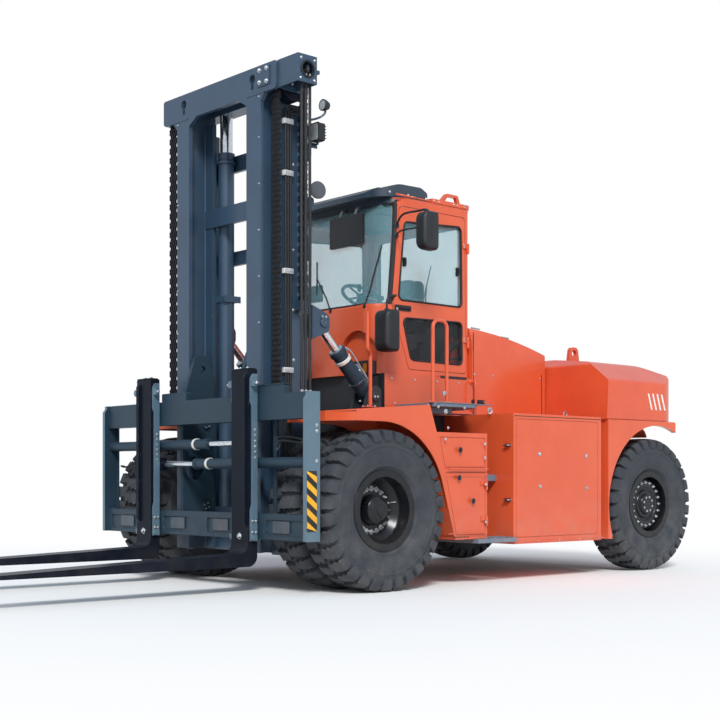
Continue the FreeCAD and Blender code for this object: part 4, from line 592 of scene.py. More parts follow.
hubLook = dict(studs=20, frontStudRing=184, frontNut=27, coverBolts=12, coverRing=100, rearStudRing=226,
               rearNut=20, planetRing=1386, discFace=1401, coverFace=1492, noseFace=1521.5, rearFace=1392,
               rearCapFace=1430)


def ringOf(count, radius, x, y, z, start=0.0):
    angles = [start + 2 * math.pi * number / count for number in range(count)]
    return [at(x + radius * math.cos(angle), y, z + radius * math.sin(angle)) for angle in angles]


for side, sign in sides:
    outward = (0, sign, 0)
    for spot in ringOf(hubLook["studs"], hubLook["frontStudRing"], 0,
                       sign * hubLook["discFace"], wheelCentre):
        bolt(spot, outward, hubLook["frontNut"])
        turned([(0, 8), (30, 8), (33, 5)], spot, outward, 10)
    for spot in ringOf(hubLook["coverBolts"], hubLook["coverRing"], 0, sign * hubLook["coverFace"],
                       wheelCentre, 0.2):
        bolt(spot, outward, 15)
    # drain plug and level ring on the hub's nose
    bolt(on(0, hubLook["noseFace"] + 0.2, wheelCentre - 62), outward, 16, 1)
    turned([(0, 46), (3, 48), (6, 44), (6, 30), (3, 26)], on(0, hubLook["noseFace"], wheelCentre),
           outward, 40, 1)
    # planet carrier ring between hub and disc
    turned([(0, 128), (0, 166), (10, 168), (16, 164), (16, 128)], on(0, hubLook["planetRing"], wheelCentre),
           outward, 60, 1, closed=True)
    # tyre valve, angled out through the disc
    tube([on(-205, 1385, 745), on(-215, 1420, 747), on(-240, 1450, 751)], 6, 8)
    finishPiece("hubBoltsFront" + side.title(), [zincPlate, rimEnamel], "front_wheel_" + side)
    # the wheel centre stands near the rim's outer edge, with its ring of stud nuts
    hub = on(rearAxle, hubLook["rearFace"], wheelCentre)
    turned([(-60, 250), (-40, 262), (0, 262), (4, 256), (4, 176), (-8, 166), (-14, 150)], hub,
           outward, 72, 1)
    for spot in ringOf(hubLook["studs"], hubLook["rearStudRing"], rearAxle, sign * (hubLook["rearFace"] + 4),
                       wheelCentre):
        bolt(spot, outward, hubLook["rearNut"])
        turned([(0, 6), (20, 6), (22, 4)], spot, outward, 10)
    # wheel hub with its bolted bearing cap
    turned([(-20, 150), (-6, 146), (2, 138), (6, 112), (26, 104), (34, 96), (38, 84), (38, 60), (34, 56)],
           hub, outward, 56, 1)
    for spot in ringOf(8, 74, rearAxle, sign * hubLook["rearCapFace"], wheelCentre, 0.3):
        bolt(spot, outward, 15)
    tube([on(-3685, 1380, 835), on(-3676, 1410, 841), on(-3668, 1432, 847)], 6, 8)
    finishPiece("hubBoltsRear" + side.title(), [zincPlate, rimEnamel], "rear_wheel_" + side)
print("wheel hardware: made")


# leaf chains: plates laced on pins, and the links that lie over the sheaves

chainLook = dict(pitch=44, plateHalf=11, plate=6.5, gap=1.5, halfWidth=57, pin=7, y=785, frontX=538,
                 rearX=242, sheaveX=390, sheaveHeight=4340, wrapRadius=134, wrapLinks=10)
plateForm = [(-1.42, 0.0), (-1.28, 0.62), (-1.0, 1.0), (-0.62, 0.86), (0.0, 0.68), (0.62, 0.86), (1.0, 1.0),
             (1.28, 0.62), (1.42, 0.0)]


def addLink(middle, along, outwards, odd, length):
    # one row of plates across the chain's width, with the pin at its start
    across = along.cross(outwards).normalized()
    step = chainLook["plate"] + chainLook["gap"]
    count = int(2 * chainLook["halfWidth"] / step)
    for number in range(count):
        if (number // 2 + odd) % 2:
            continue
        low = (-chainLook["halfWidth"] + number * step) * mm
        rings = []
        for offset in (low, low + chainLook["plate"] * mm):
            corners = plateForm + [(reach, -height) for reach, height in plateForm[-2:0:-1]]
            rings.append([shape.verts.new(middle + across * offset + along * (reach * length * 0.38 * mm)
                                          + outwards * (height * chainLook["plateHalf"] * mm))
                          for reach, height in corners])
            shape.faces.new(rings[-1])
        for a, b, c, d in zip(rings[0], rings[0][1:] + rings[0][:1], rings[1][1:] + rings[1][:1], rings[1]):
            shape.faces.new((a, b, c, d))
    start = middle - along * (length / 2 * mm) - across * ((chainLook["halfWidth"] + 3) * mm)
    turned([(0, chainLook["pin"]), (2 * chainLook["halfWidth"] + 6, chainLook["pin"])], start, across, 8)


def addChainRun(x, y, low, high):
    count = round((high - low) / chainLook["pitch"])
    length = (high - low) / count
    for number in range(count):
        addLink(at(x, y, low + (number + 0.5) * length), Vector((0, 0, 1)), Vector((1, 0, 0)),
                number % 2, length)


frontFoot, frontTop = [corner[2] for corner in boxOf("lift_chains_front")]
rearFoot, rearTop = [corner[2] for corner in boxOf("lift_chains_rear")]
for side, sign in sides:
    y = sign * chainLook["y"]
    side = side.title()
    addChainRun(chainLook["frontX"], y, frontFoot, frontTop)
    finishPiece("leafChainFront" + side, [oiledSteel], None, stands=["lift_chains_front"],
                bends={"from": "inner_mast", "to": "carriage", "start": at(chainLook["frontX"], 0, frontTop),
                       "end": at(chainLook["frontX"], 0, frontFoot)})
    addChainRun(chainLook["rearX"], y, rearFoot, rearTop)
    finishPiece("leafChainRear" + side, [oiledSteel], None, stands=["lift_chains_rear"],
                bends={"from": "mast", "to": "inner_mast", "start": at(chainLook["rearX"], 0, rearFoot),
                       "end": at(chainLook["rearX"], 0, rearTop)})
    for number in range(chainLook["wrapLinks"]):
        angle = math.pi * (number + 0.5) / chainLook["wrapLinks"]
        outwards = Vector((math.cos(angle), 0, math.sin(angle)))
        along = Vector((-math.sin(angle), 0, math.cos(angle)))
        middle = at(chainLook["sheaveX"], y, chainLook["sheaveHeight"])
        middle += outwards * chainLook["wrapRadius"] * mm
        addLink(middle, along, outwards, number % 2,
                math.pi * (chainLook["wrapRadius"] + 2) / chainLook["wrapLinks"])
    finishPiece("leafChainOverSheave" + side, [oiledSteel], "inner_mast")
    # clevis, threaded anchor and lock nuts at each chain's end
    for reach in (-38, -13, 13, 38):
        slab("y", oval((chainLook["frontX"], frontFoot + 12), (22, 40), 14), y + reach - 5, y + reach + 5)
    for reach in (-30, 30):
        turned([(0, 11), (120, 11), (124, 8)], at(560, y + reach, 1482), (0, 0, 1), 12, 1)
        for height in (1480, 1498):
            bolt(at(560, y + reach, height), (0, 0, -1), 30, 1)
    finishPiece("chainAnchorCarriage" + side, [forkEnamel, zincPlate], "carriage", edge=1)
    for reach in (-38, -13, 13, 38):
        slab("y", oval((chainLook["rearX"], 2512), (20, 34), 12), y + reach - 5, y + reach + 5)
    for reach in (-30, 30):
        turned([(0, 11), (-150, 11)], at(chainLook["rearX"], y + reach, 2500), (0, 0, 1), 12, 1)
        for height in (2418, 2398):
            bolt(at(chainLook["rearX"], y + reach, height), (0, 0, -1), 30, 1)
    finishPiece("chainAnchorMast" + side, [forkEnamel, zincPlate], "mast", edge=1)
print("chains: made")


# mast: bolted cover plates, hoses with their clamps, lamps

mastLook = dict(hose=11, clampHeights=(4051, 3602, 2753, 1894, 1100), hoseXs=(348, 376, 404), hoseY=744,
                webFace=715, railBolts=(3692, 2949, 2425, 1989), lampHeight=4002, pinFace=778,
                cylinder=(215, 385), liftHoseX=410, liftHosePitch=45, liftHoseY=1080, lowEntry=1290,
                entryPitch=46)

# the plate that carries the hose box
slab("x", oval((691, 4412), (84, 84), 8), 598, 611)
for y, z in ((642, 4466), (740, 4469), (642, 4363), (740, 4358)):
    bolt(at(611, y, z), (1, 0, 0), 26, 1)
for sign in (1, -1):
    # keeper plates of the sheave pins
    sideSlab(oval((390, 4340), (52, 40), 10), 860, 870)
    sideBolts([(x, 870, 4340) for x in (352, 428)], 20, 1)
    for z in (4250, 3900, 3500, 3100, 2700, 2300):
        bolt(on(600, 622, z), (1, 0, 0), 13, 1, False)
    # weld seam where the crosshead plate meets the rail
    tube([on(601, 445, 4276), on(601, 640, 4276), on(601, 700, 4280)], 5, 8)
finishPiece("crossheadPlates", [mastEnamel, zincPlate], "inner_mast", edge=1.5)

for sign in (1, -1):
    for z in mastLook["railBolts"]:
        bolt(on(294, mastLook["webFace"], z), (0, sign, 0), 17, 1)
        bolt(on(200, mastLook["webFace"], z - 160), (0, sign, 0), 17, 1)
    # stiffening pads round the pivots and tilt lugs
    sideSlab(oval((300, 1010), (70, 120), 24), 713, 723)
    sideBolts([(300, 723, z) for z in (930, 1090)], 22, 1)
    # head of the tilt pin: keeper plate, two bolts, grease nipple
    turned([(0, 40), (12, 40), (15, 36)], on(0, mastLook["pinFace"], tiltPinHeight), (0, sign, 0), 28)
    sideSlab(oval((0, 2382), (34, 17), 8), mastLook["pinFace"], 786)
    sideBolts([(x, 786, 2384) for x in (-20, 20)], 14, 1)
    turned([(0, 0), (0, 5), (8, 5), (9, 3), (13, 3), (14, 0)], on(0, 793, tiltPinHeight),
           (0, sign, 0), 10, 1)
    # welded seams along the back of the rails
    tube([on(131, 608, 400), on(131, 608, 2800)], 5, 6)
    # lock nuts and glands of the lift cylinders
    cylinderX, cylinderY = mastLook["cylinder"]
    for z, gland in ((3900, [(0, 61), (0, 92), (18, 94), (22, 88), (22, 61)]),
                     (560, [(0, 75), (0, 90), (40, 90), (44, 84), (44, 75)])):
        turned(gland, on(cylinderX, cylinderY, z), (0, 0, 1), 36, closed=True)
    for z in (1500, 2600):  # straps that hold each lift cylinder to the cross tie
        strap = ((110, 470), (296, 470), (296, 300), (110, 300), (110, 312), (140, 312),
                 (140, 458), (110, 458))
        slab("z", [(x, sign * y) for x, y in strap], z, z + 60)
finishPiece("mastBoltsAndPads", [mastEnamel, zincPlate], "mast", edge=1.5)

for sign in (1, -1):
    for number, x in enumerate(mastLook["hoseXs"]):
        y = sign * mastLook["hoseY"]
        top = 4110 + 18 * number
        tube(eased([on(40, 700, 640), on(150, 735, 610), at(x - 90, y, 600), at(x - 8, y, 680),
                    *[at(x, y, z) for z in (820, 1400, 2400, 3400, top - 50)], at(x - 22, y, top + 8),
                    at(x - 70, y, top + 34), at(x - 130, y, top + 14), at(160, y, 4040 - 14 * number),
                    on(150, 730, 3950 - 14 * number)], 7), mastLook["hose"])
finishPiece("mastRailHoses", [hoseRubber], "mast")
for sign in (1, -1):
    for z in mastLook["clampHeights"]:
        slab("z", oval((376, sign * 738), (52, 22), 8), z - 22, z + 22)
        slab("z", oval((376, sign * 762.5), (46, 2.5), 2), z - 15, z + 15, 1)
        sideBolts([(x, 765, z) for x in (362, 390)], 10, 1, False)
    block((120, sign * 715, 3900), (190, sign * 745, 3960), 1)
finishPiece("mastHoseClamps", [whiteEnamel, zincPlate], "mast", edge=2)

# the moving hoses hang from the crosshead's box to the carriage
hoseTop, hoseFoot = boxOf("mast_hoses")[1][2], boxOf("mast_hoses")[0][2]
liftHoseXs = [mastLook["liftHoseX"] + mastLook["liftHosePitch"] * number for number in range(3)]
for number, x in enumerate(liftHoseXs):
    points = []
    for share in [step / 48 for step in range(49)]:
        sway = 5 * math.sin(math.pi * share) * math.sin(9 * share + 2.1 * number)
        points.append(at(x + sway, mastLook["liftHoseY"] + 0.7 * sway,
                         hoseTop + (hoseFoot - hoseTop) * share))
    tube(points, 13, 12)
finishPiece("movingHoses", [hoseRubber], None, stands=["mast_hoses"],
            bends={"from": "inner_mast", "to": "carriage", "start": at(455, 1080, hoseTop),
                   "end": at(455, 1080, hoseFoot)})
for x in liftHoseXs:
    turned([(0, 17), (46, 17), (50, 14)], at(x, mastLook["liftHoseY"], hoseTop - 8), (0, 0, 1), 14)
turned([(0, 60), (0, 74), (8, 76), (12, 72), (12, 60)], at(476, 1128, 4395), (0, 1, 0), 40, 1, closed=True)
for x, z in ((400, 4480), (545, 4480), (400, 4310), (552, 4310)):
    bolt(at(x, 1130, z), (0, 1, 0), 15)
# bundle that enters the box through its round hole
for number, (y, z) in enumerate(((1085, 4412), (1078, 4380), (1102, 4396))):
    tube(eased([at(430 + 22 * number, 1040, z - 60), at(458 + 14 * number, 1075, z - 18), at(470, y + 20, z),
                at(474, 1134, z + 2)], 6), 13, 10, 2)
finishPiece("hoseBoxFittings", [zincPlate, sealRubberAndGapShade, hoseRubber], "inner_mast")

for number, x in enumerate(liftHoseXs):  # from the carriage's tray to the bulkhead behind the end plate
    entry = mastLook["lowEntry"] - mastLook["entryPitch"] * number
    turned([(0, 17), (-42, 17), (-46, 14)], at(x, 1080, 1702), (0, 0, 1), 14, 1)
    turned([(0, 19), (-24, 19)], at(x, 1080, 1644), (0, 0, 1), 6, 1)
    tube(eased([at(x, 1080, 1642), at(x + 20, 1078, 1616), at(566 + 22 * number, 1064, 1606),
                at(636 + 10 * number, 1036, 1560), at(650 + 6 * number, 1005, 1420),
                at(664, 990, entry + 30), at(690, 975, entry)], 7), 12)
    bolt(at(691, 972, entry), (-1, 0, 0), 26, 1)
for sign, z in ((1, 1200), (-1, 1025)):  # and on to the positioner's ports
    for shift in (0, 34):
        y = sign * 1400 + shift
        tube(eased([on(697, 975, z + 60 + shift), on(672, 1060, z + 70 + shift),
                    on(668, 1250, z + 50 + shift), at(690, y, z + 40), at(735, y, z + 50)], 7), 9, 8)
finishPiece("carriageHoses", [hoseRubber, zincPlate], "carriage")

# a work lamp on each rail, and a round lamp on its arm and a round grey horn on the left one
for sign in (1, -1):
    y = sign * 770
    slab("x", oval((y, mastLook["lampHeight"]), (62, 78), 16), 30, 96, 0)
    slab("x", oval((y, mastLook["lampHeight"]), (66, 82), 18), 96, 106, 0)
    slab("x", oval((y, mastLook["lampHeight"]), (54, 70), 12), 107, 111, 2)
    for fin in range(5):
        slab("x", oval((y, mastLook["lampHeight"] - 52 + 26 * fin), (56, 4), 3), 12, 30, 0)
    sideSlab([(20, 3880), (131, 3880), (131, 3915), (90, 3925), (20, 3925)], 700, 712, 1)
    tube([on(60, 706, 3905), on(60, 770, 3905), on(60, 770, 3930)], 9, 10, 1)
tube(eased([at(100, 712, 4120), at(20, 735, 4150), at(-25, 760, 4190), at(-30, 762, 4225)], 5), 10, 10, 1)
turned([(0, 34), (40, 50), (62, 52), (66, 48), (66, 44), (60, 44)], at(-60, 762, 4262), (1, 0, 0), 30, 0)
turned([(0, 0), (0, 44), (3, 42), (5, 0)], at(1, 762, 4262), (1, 0, 0), 30, 2)
turned([(0, 70), (10, 76), (26, 78), (34, 70), (38, 40)], at(60, 752, 3497), (0.2, 1, 0), 40, 3)
block((60, 716, 3480), (128, 752, 3514), 1)
finishPiece("mastLamps", [blackPlasticAndShade, mastEnamel, lampPane, greyPlastic], "mast",
            edge=2)
print("mast: dressed")


# carriage: roller pins, rubbed pads, end plates with hazard stripes, fork hangers

for sign in (1, -1):
    for z in (700, 1450):  # roller pins
        turned([(0, 106), (0, 36), (6, 30), (10, 30), (10, 0)], on(445, 550, z), (0, sign, 0), 30, bare=True)
        turned([(0, 0), (0, 44), (14, 40), (16, 0)], on(445, 388, z), (0, -sign, 0), 30)
        for spot in ringOf(4, 28, 445, sign * 373, z, 0.4):
            bolt(spot, (0, -sign, 0), 13, 1, False)
    sideBolts([(739, 1560, z) for z in (1383, 1335, 1095)], 20, 1)
    # fillet welds of bars to end plates
    for z in (660, 1440):
        tube([on(706, 1519, z), on(794, 1519, z)], 6, 6)
    # rubbed pads on the lower bar, thin enough for the forks to slide past
    for y in (330, 1180):
        slab("x", oval((sign * y, 552), (112, 50), 14), 799.6, 800.2, 2)
slab("z", oval((770, 1036), (34, 186), 8), 1729, 1738)  # lid of the hook box that no fork reaches
finishPiece("carriageBolts", [carriageEnamel, zincPlate, guardEnamel], "carriage",
            edge=1.5)

stripeLook = dict(low=526, high=1014, front=838, back=736, stripes=5, rise=80, below=50)
for side, sign in sides:
    low, high, front, back = [stripeLook[edge] for edge in ("low", "high", "front", "back")]
    sideSlab(oval(((front + back) / 2, (low + high) / 2), ((front - back) / 2, (high - low) / 2), 3), 1559.5,
             1562)
    pitch = (high - low + 60) / stripeLook["stripes"]
    for stripe in range(stripeLook["stripes"]):
        foot = low - stripeLook["below"] + stripe * pitch
        head = foot + stripeLook["rise"]
        corners = [(front, head), (front, head + pitch / 2), (back, foot + pitch / 2), (back, foot)]
        sideSlab([(x, min(max(z, low), high)) for x, z in corners], 1561, 1563.5, 1)
    bmesh.ops.remove_doubles(shape, verts=shape.verts, dist=0.00001)
    finishPiece("hazardStripes" + side.title(), [sealRubberAndGapShade, yellowEnamel], "carriage")

for side, sign in sides:
    # hanger cheeks on both sides of the shank, each with its hook block, bolt column and foot
    for cheek, out in ((860, 1), (624, -1)):
        face = sign * (cheek + 20 * out)
        slab("y", [(812, 430), (882, 430), (882, 690), (868, 740), (868, 1560), (884, 1600), (884, 1790),
                   (860, 1830), (812, 1830)], sign * cheek, face)
        for z in (1361, 1315, 1268, 1222, 1175, 1128):
            bolt(at(838, face, z), (0, sign * out, 0), 15, 1)
        for x, z in ((826, 597), (862, 597), (826, 505), (862, 505)):
            bolt(at(x, face, z), (0, sign * out, 0), 19, 1)
        slab("y", oval((867, 1750), (17, 30), 8), face, face + sign * out * 46)
        slab("y", oval((867, 462), (17, 24), 8), face, face + sign * out * 20)
        turned([(0, 13), (22, 13), (26, 9)], at(867, face + sign * out * 46, 1750),
               (0, sign * out, 0), 20, 1)
    block((812, sign * 630, 1869), (894, sign * 855, 1878), 2)
    for y in (690, 790):
        bolt(on(850, y, 1878), (0, 0, 1), 24, 1)
    # the cheeks get the lighter slate enamel: painted light on their sides
    finishPiece("forkHanger" + side.title(), [sideLitSlateEnamel, zincPlate, forkEnamel], "fork_" + side,
                edge=2)
    # weld seam of the positioner's lug, and the bolt at the heel
    height = 1260 if sign > 0 else 1085
    tube([on(801, 622, height - 58), on(801, 622, height + 58)], 5, 6)
    bolt(on(895, 742, 470), (1, 0, 0), 34, 1)
    finishPiece("forkFittings" + side.title(), [forkEnamel, zincPlate], "fork_" + side)
# a white band round each positioner barrel, near its rod
finishNode("positioner_barrels", carriageEnamel, whiteEnamel,
           choose=lambda x, y, z, normal: 1 if abs(y + 98 if z > 1180 else y - 102) < 13 else 0)
print("carriage: dressed")


# tilt cylinders: collars, ports, steel pipes, pin heads

tiltLook = dict(footX=-600, footHeight=1700, y=700, lie=(600, 0, 630), pinFace=799)
lie = Vector(tiltLook["lie"]).normalized()
lift = Vector((-lie.z, 0, lie.x))
for side, sign in sides:
    def along(reach, height, aside):  # a place on the cylinder: up its length, above it and beside it
        foot = on(tiltLook["footX"], tiltLook["y"], tiltLook["footHeight"])
        return foot + (lie * reach + lift * height + Vector((0, aside, 0))) * mm

    turned([(0, 70), (0, 78), (30, 80), (34, 76), (34, 70)], along(430, 0, 0), lie, 40, 1, closed=True)
    turned([(0, 70), (0, 82), (22, 84), (26, 80), (26, 70)], along(180, 0, 0), lie, 40, 0, closed=True)
    turned([(0, 40), (0, 64), (10, 66), (14, 58), (14, 40)], along(559, 0, 0), lie, 40, 2, closed=True)
    for reach in (250, 500):
        turned([(0, 20), (24, 20), (24, 14), (44, 14)], along(reach, 66, 0), lift,
               6 if reach > 300 else 12, 2)
    for aside in (-16, 16):  # steel pipes from the gland and the base port to the foot
        start, bend = (500, 450) if aside > 0 else (250, 215)
        tube(eased([along(start, 104, aside * 0.2), along(bend, 116, aside), along(300, 108, aside),
                    along(150, 98, aside), along(90, 92, aside), along(74, 66, aside)], 6), 9, 10, 2)
    finishPiece("tiltBarrelFittings" + side.title(), [guardEnamel, whiteEnamel, zincPlate],
                "tilt_barrel_" + side)
    turned([(0, 46), (12, 46), (15, 40)], on(tiltLook["footX"], tiltLook["pinFace"], tiltLook["footHeight"]),
           (0, sign, 0), 28)
    sideBolts([(tiltLook["footX"] + x, 814, tiltLook["footHeight"]) for x in (-18, 18)], 14, 1)
    finishPiece("tiltPinHead" + side.title(), [chassisEnamelAndShade, zincPlate], "chassis",
                edge=1.5)
print("tilt cylinders: dressed")


# cab: door gaskets, handles, latches and hinges

doorLook = dict(face=720, gasket=9, latches=((-1043, 2991), (-1760, 2972)), hinges=(2285, 3210),
                upper=[(-963, 2630), (-1043, 3370), (-1810, 3415), (-1820, 2630)],
                lower=[(-1128, 2075), (-1018, 2465), (-1820, 2480), (-1825, 2065)])


def roundedPath(corners, radius, steps=5):  # the same corners with arcs in place of points
    path = []
    count = len(corners)
    for here in range(count):
        corner = Vector(corners[here])
        before = (Vector(corners[here - 1]) - corner).normalized()
        after = (Vector(corners[(here + 1) % count]) - corner).normalized()
        half = before.angle(after) / 2
        reach = radius / math.tan(half)
        middle = corner + (before + after).normalized() * (radius / math.sin(half))
        start, end = corner + before * reach - middle, corner + after * reach - middle
        for step in range(steps + 1):
            path.append(tuple(middle + start.lerp(end, step / steps).normalized() * radius))
    return path


for side, sign in sides:
    face = sign * doorLook["face"]
    door = "cab_door_" + side
    for light in (doorLook["upper"], doorLook["lower"]):
        path = roundedPath(light, 48)
        for depth in (1, -12):
            tube([at(x, face + sign * depth, z) for x, z in path], doorLook["gasket"], 8, 0, True)
    for spot in doorLook["latches"]:  # of the sliding pane
        slab("y", oval(spot, (15, 42), 6), face - sign * 12, face + sign * 12)
        slab("y", oval(spot, (9, 22), 4), face + sign * 12, face + sign * 22)
    finishPiece("doorGaskets" + side.title(), [sealRubberAndGapShade], door)
    slab("y", oval((-1022, 2555), (104, 27), 16), face - sign * 0.5, face + sign * 7)
    slab("y", oval((-1028, 2551), (84, 15), 12), face + sign * 7, face + sign * 9, 1)
    grip = ((-1112, 728, 2557), (-1104, 741, 2557), (-1050, 743, 2556), (-985, 742, 2555), (-958, 734, 2555),
            (-952, 726, 2555))
    tube(eased([on(x, y, z) for x, y, z in grip], 5), 7)
    turned([(0, 13), (5, 13), (7, 10), (7, 3), (5, 3)], on(-940, 727, 2542), (0, sign, 0), 20, 2)
    finishPiece("doorHandle" + side.title(), [blackPlasticAndShade, sealRubberAndGapShade, zincPlate], door,
                edge=1)
    for z in doorLook["hinges"]:  # screws and cap of the door's half of each hinge
        for rise in (14, 36):
            turned([(0, 7.2), (3, 6.6), (5, 3.6), (5.4, 0)], on(-1846, 730, z + rise), (0, sign, 0), 14, 1)
        turned([(0, 12), (4, 11), (6, 7)], on(-1894, 734, z + 49), (0, 0, 1), 16, 1)
    # gas strut bracket and pull strap of the door, inside
    block((-1840, face - sign * 24, 2110), (-1810, face - sign * 60, 2150))
    tube([on(-1000, 688, 2530), on(-1010, 655, 2520), on(-1200, 650, 2518), on(-1400, 655, 2520),
          on(-1410, 688, 2530)], 12, 10, 0)
    finishPiece("doorHardware" + side.title(), [blackPlasticAndShade, zincPlate], door, edge=1)
print("doors: dressed")


# cab shell: screen gaskets, gutters, strips and bolts, wipers

# foot of the screen's gasket from the left to its middle; its head stands behind and above
screenEdge = [(-858, 706, 2585), (-790, 650, 2582), (-714, 540, 2582), (-703, 400, 2582), (-702, 0, 2582)]
screenFoot = screenEdge + [(x, -y, z) for x, y, z in screenEdge[-2::-1]]
screenHead = [(x - 196, y, z + 955) if abs(y) < 600 else (x - 110, y - math.copysign(20, y), z + 955)
              for x, y, z in screenFoot]
for edge in (screenFoot, screenHead):
    tube(eased([at(*spot) for spot in edge], 4), 12, 8)
for sign in (1, -1):
    pillar = ((-858, 708, 2585), (-895, 702, 2900), (-935, 690, 3220), (-966, 672, 3540))
    tube(eased([on(x, y, z) for x, y, z in pillar], 5), 24)
rearPath = roundedPath([(-594, 2596), (594, 2596), (594, 3444), (-594, 3444)], 62)
for x in (-1944, -1922):
    tube([at(x, y, z) for y, z in rearPath], 10, 8, 0, True)
finishPiece("screenGaskets", [sealRubberAndGapShade], "chassis")

for sign in (1, -1):
    # strips under the roof guard's edge with their screws, and the gutter over the door
    sideSlab([(-927, 3606), (-927, 3622), (-1180, 3622), (-1214, 3606)], 722, 732)
    sideSlab([(-1190, 3606), (-1390, 3606), (-1390, 3614), (-1190, 3618)], 722, 732)
    sideSlab([(-905, 3570), (-905, 3583), (-1925, 3583), (-1925, 3570)], 690, 706)
    sideBolts(((-990, 732, 3614), (-1130, 732, 3614), (-1430, 728, 3620), (-1750, 728, 3620)), 11, 1, False)
    # sill strip, and the bolts of the panel above it
    sideSlab([(-775, 1572), (-1925, 1572), (-1925, 1584), (-775, 1584)], 749, 753, 2)
    sideBolts([(x, 750, 1885) for x in (-850, -1150, -1450, -1750)], 13, 1)
    # cab mounts under the floor
    for x in (-860, -1820):
        turned([(0, 46), (30, 46), (36, 38)], on(x, 640, 1524), (0, 0, 1), 28, 2)
# bolts on the rear wall, and the grille of its vent
for y in (-640, 640):
    for z in (2000, 2300, 2560):
        bolt(at(-1940.5, y, z), (-1, 0, 0), 15, 1)
for slat in range(6):
    slab("x", oval((0, 2080 + 42 * slat), (300, 9), 8), -1952, -1939, 2)
slab("x", oval((0, 2185), (330, 142), 20), -1944, -1939, 2)
finishPiece("cabTrim", [orangeEnamel, zincPlate, blackPlasticAndShade], "chassis", edge=1)

# wipers: the way they face, the shift of the rubber, then spindle, elbow and both ends of the blade
wipers = [(1, -0.006, (-702, 545, 2560), (-725, 590, 2720), (-748, 583, 2790), (-808, 660, 3125)),
          (1, -0.006, (-700, 60, 2560), (-722, -40, 2700), (-738, -200, 2745), (-790, -260, 3080)),
          (-1, 0.004, (-1950, 0, 2575), (-1944, 90, 2760), (-1938, 40, 2700), (-1938, 180, 3120))]
for out, rubberX, *places in wipers:
    foot, elbow, tipLow, tipHigh = [at(*place) for place in places]
    turned([(0, 22), (14, 20), (18, 12)], foot, (out, 0, 0), 18)
    tube([foot + Vector((0.008 * out, 0, 0)), elbow, (tipLow + tipHigh) / 2], 7, 8)
    tube([tipLow, tipHigh], 6, 6)
    tube([tip + Vector((rubberX, 0, 0)) for tip in (tipLow, tipHigh)], 4, 4, 1)
finishPiece("wipers", [blackPlasticAndShade, sealRubberAndGapShade], "chassis")

# bolt heads of the roof, and its hatch with gasket and hinges
for sign in (1, -1):
    sideBolts([(x, 690, 3634) for x in (-1360, -1120, -880)], 16, 1)
    for x in (-1885, -1615):
        bolt(on(x, 660, 3640), (0, 0, 1), 24, 1)
    sideBolts([(x, 728.5, 3621) for x in (-1500, -1700, -1850)], 12, 1)
slab("z", oval((-1690, 0), (190, 300), 40), 3640, 3652, 2)
slab("z", oval((-1690, 0), (176, 286), 30), 3652, 3664, 3)
for y in (-220, 220):
    block((-1510, y - 30, 3640), (-1480, y + 30, 3668), 2)
finishPiece("roofFittings", [guardEnamel, zincPlate, sealRubberAndGapShade, orangeEnamel], "chassis",
            edge=2)

for sign in (1, -1):
    # cowl lamps: bowl, lens, ribs and a turn lamp beside it
    for paint, profile in ((1, [(0, 0), (0, 40), (4, 46), (10, 49)]),
                           (2, [(9, 49), (13, 46), (15, 30), (16, 0)])):
        turned(profile, on(-670, 477, 1978), (1, 0, 0), 32, paint, bare=True)
    for number in range(4):
        slab("x", oval((sign * 477, 1952 + 17 * number), (38, 1.6), 1.5), -656, -654.6, 0)
    slab("x", oval((sign * 590, 1978), (22, 44), 8), -662, -655, 3)
finishPiece("cowlLamps", [blackPlasticAndShade, reflector, lampPane, amberLens], "chassis")

# mirrors: round-backed moulded housings on bent arms, with silvered glass that faces the driver
mirrorLook = dict(
    upper=dict(centre=(1150, 3210), reach=(72, 175), back=-995, front=-822,
               arms=[([(-955, 706, 3330), (-900, 850, 3400), (-905, 1050, 3404), (-905, 1140, 3403),
                       (-905, 1152, 3380)], 10),
                     ([(-946, 709, 3230), (-885, 850, 3250), (-905, 1095, 3250)], 8)]),
    lower=dict(centre=(900, 2300), reach=(100, 190), back=-716, front=-562,
               arms=[([(-875, 722, 2640), (-800, 860, 2640), (-700, 893, 2618), (-652, 900, 2580),
                       (-650, 900, 2480)], 10)]))
# share of the housing's depth, and share of its width and height there
mirrorForm = [(0.06, 0.90), (0.0, 0.97), (0.02, 1.0), (0.45, 1.0), (0.70, 0.97), (0.85, 0.90), (0.95, 0.77),
              (1.0, 0.55)]
for name, look in mirrorLook.items():
    for sign in (1, -1):
        rings = []
        centreY, centreZ = look["centre"]
        for depth, width in mirrorForm:
            x = look["back"] + (look["front"] - look["back"]) * depth
            outline = oval((sign * centreY, centreZ), [reach * width for reach in look["reach"]], 40 * width)
            rings.append([shape.verts.new(at(x, y, z)) for y, z in outline])
        for here, there in zip(rings, rings[1:]):
            joinRings(here, there, 0)
        shape.faces.new(rings[0]).material_index = 1
        shape.faces.new(rings[-1])
        for points, radius in look["arms"]:
            tube(eased([on(x, y, z) for x, y, z in points], 6), radius, 12)
            x, y, z = points[0]
            turned([(0, 30), (8, 30), (14, 22)], on(x, y - 3, z), (0, sign, 0), 20)
        x, y, z = look["arms"][0][0][-1]
        turned([(0, 22), (30, 24), (38, 18)], on(x, y, z - 16), (0, 0, 1), 20)
    finishPiece(name + "Mirrors", [blackPlasticAndShade, mirrorGlass], "chassis",
                stands=["mirrors"])
print("cab: trimmed")


# inside the cab: padded seat, controls, steering wheel, instruments, linings

cushionLook = dict(voxel=9, rounding=26, pressure=4.0, frames=20, most=14, fill=0.75,
                   channels=(0.33, 0.67), seam=6)


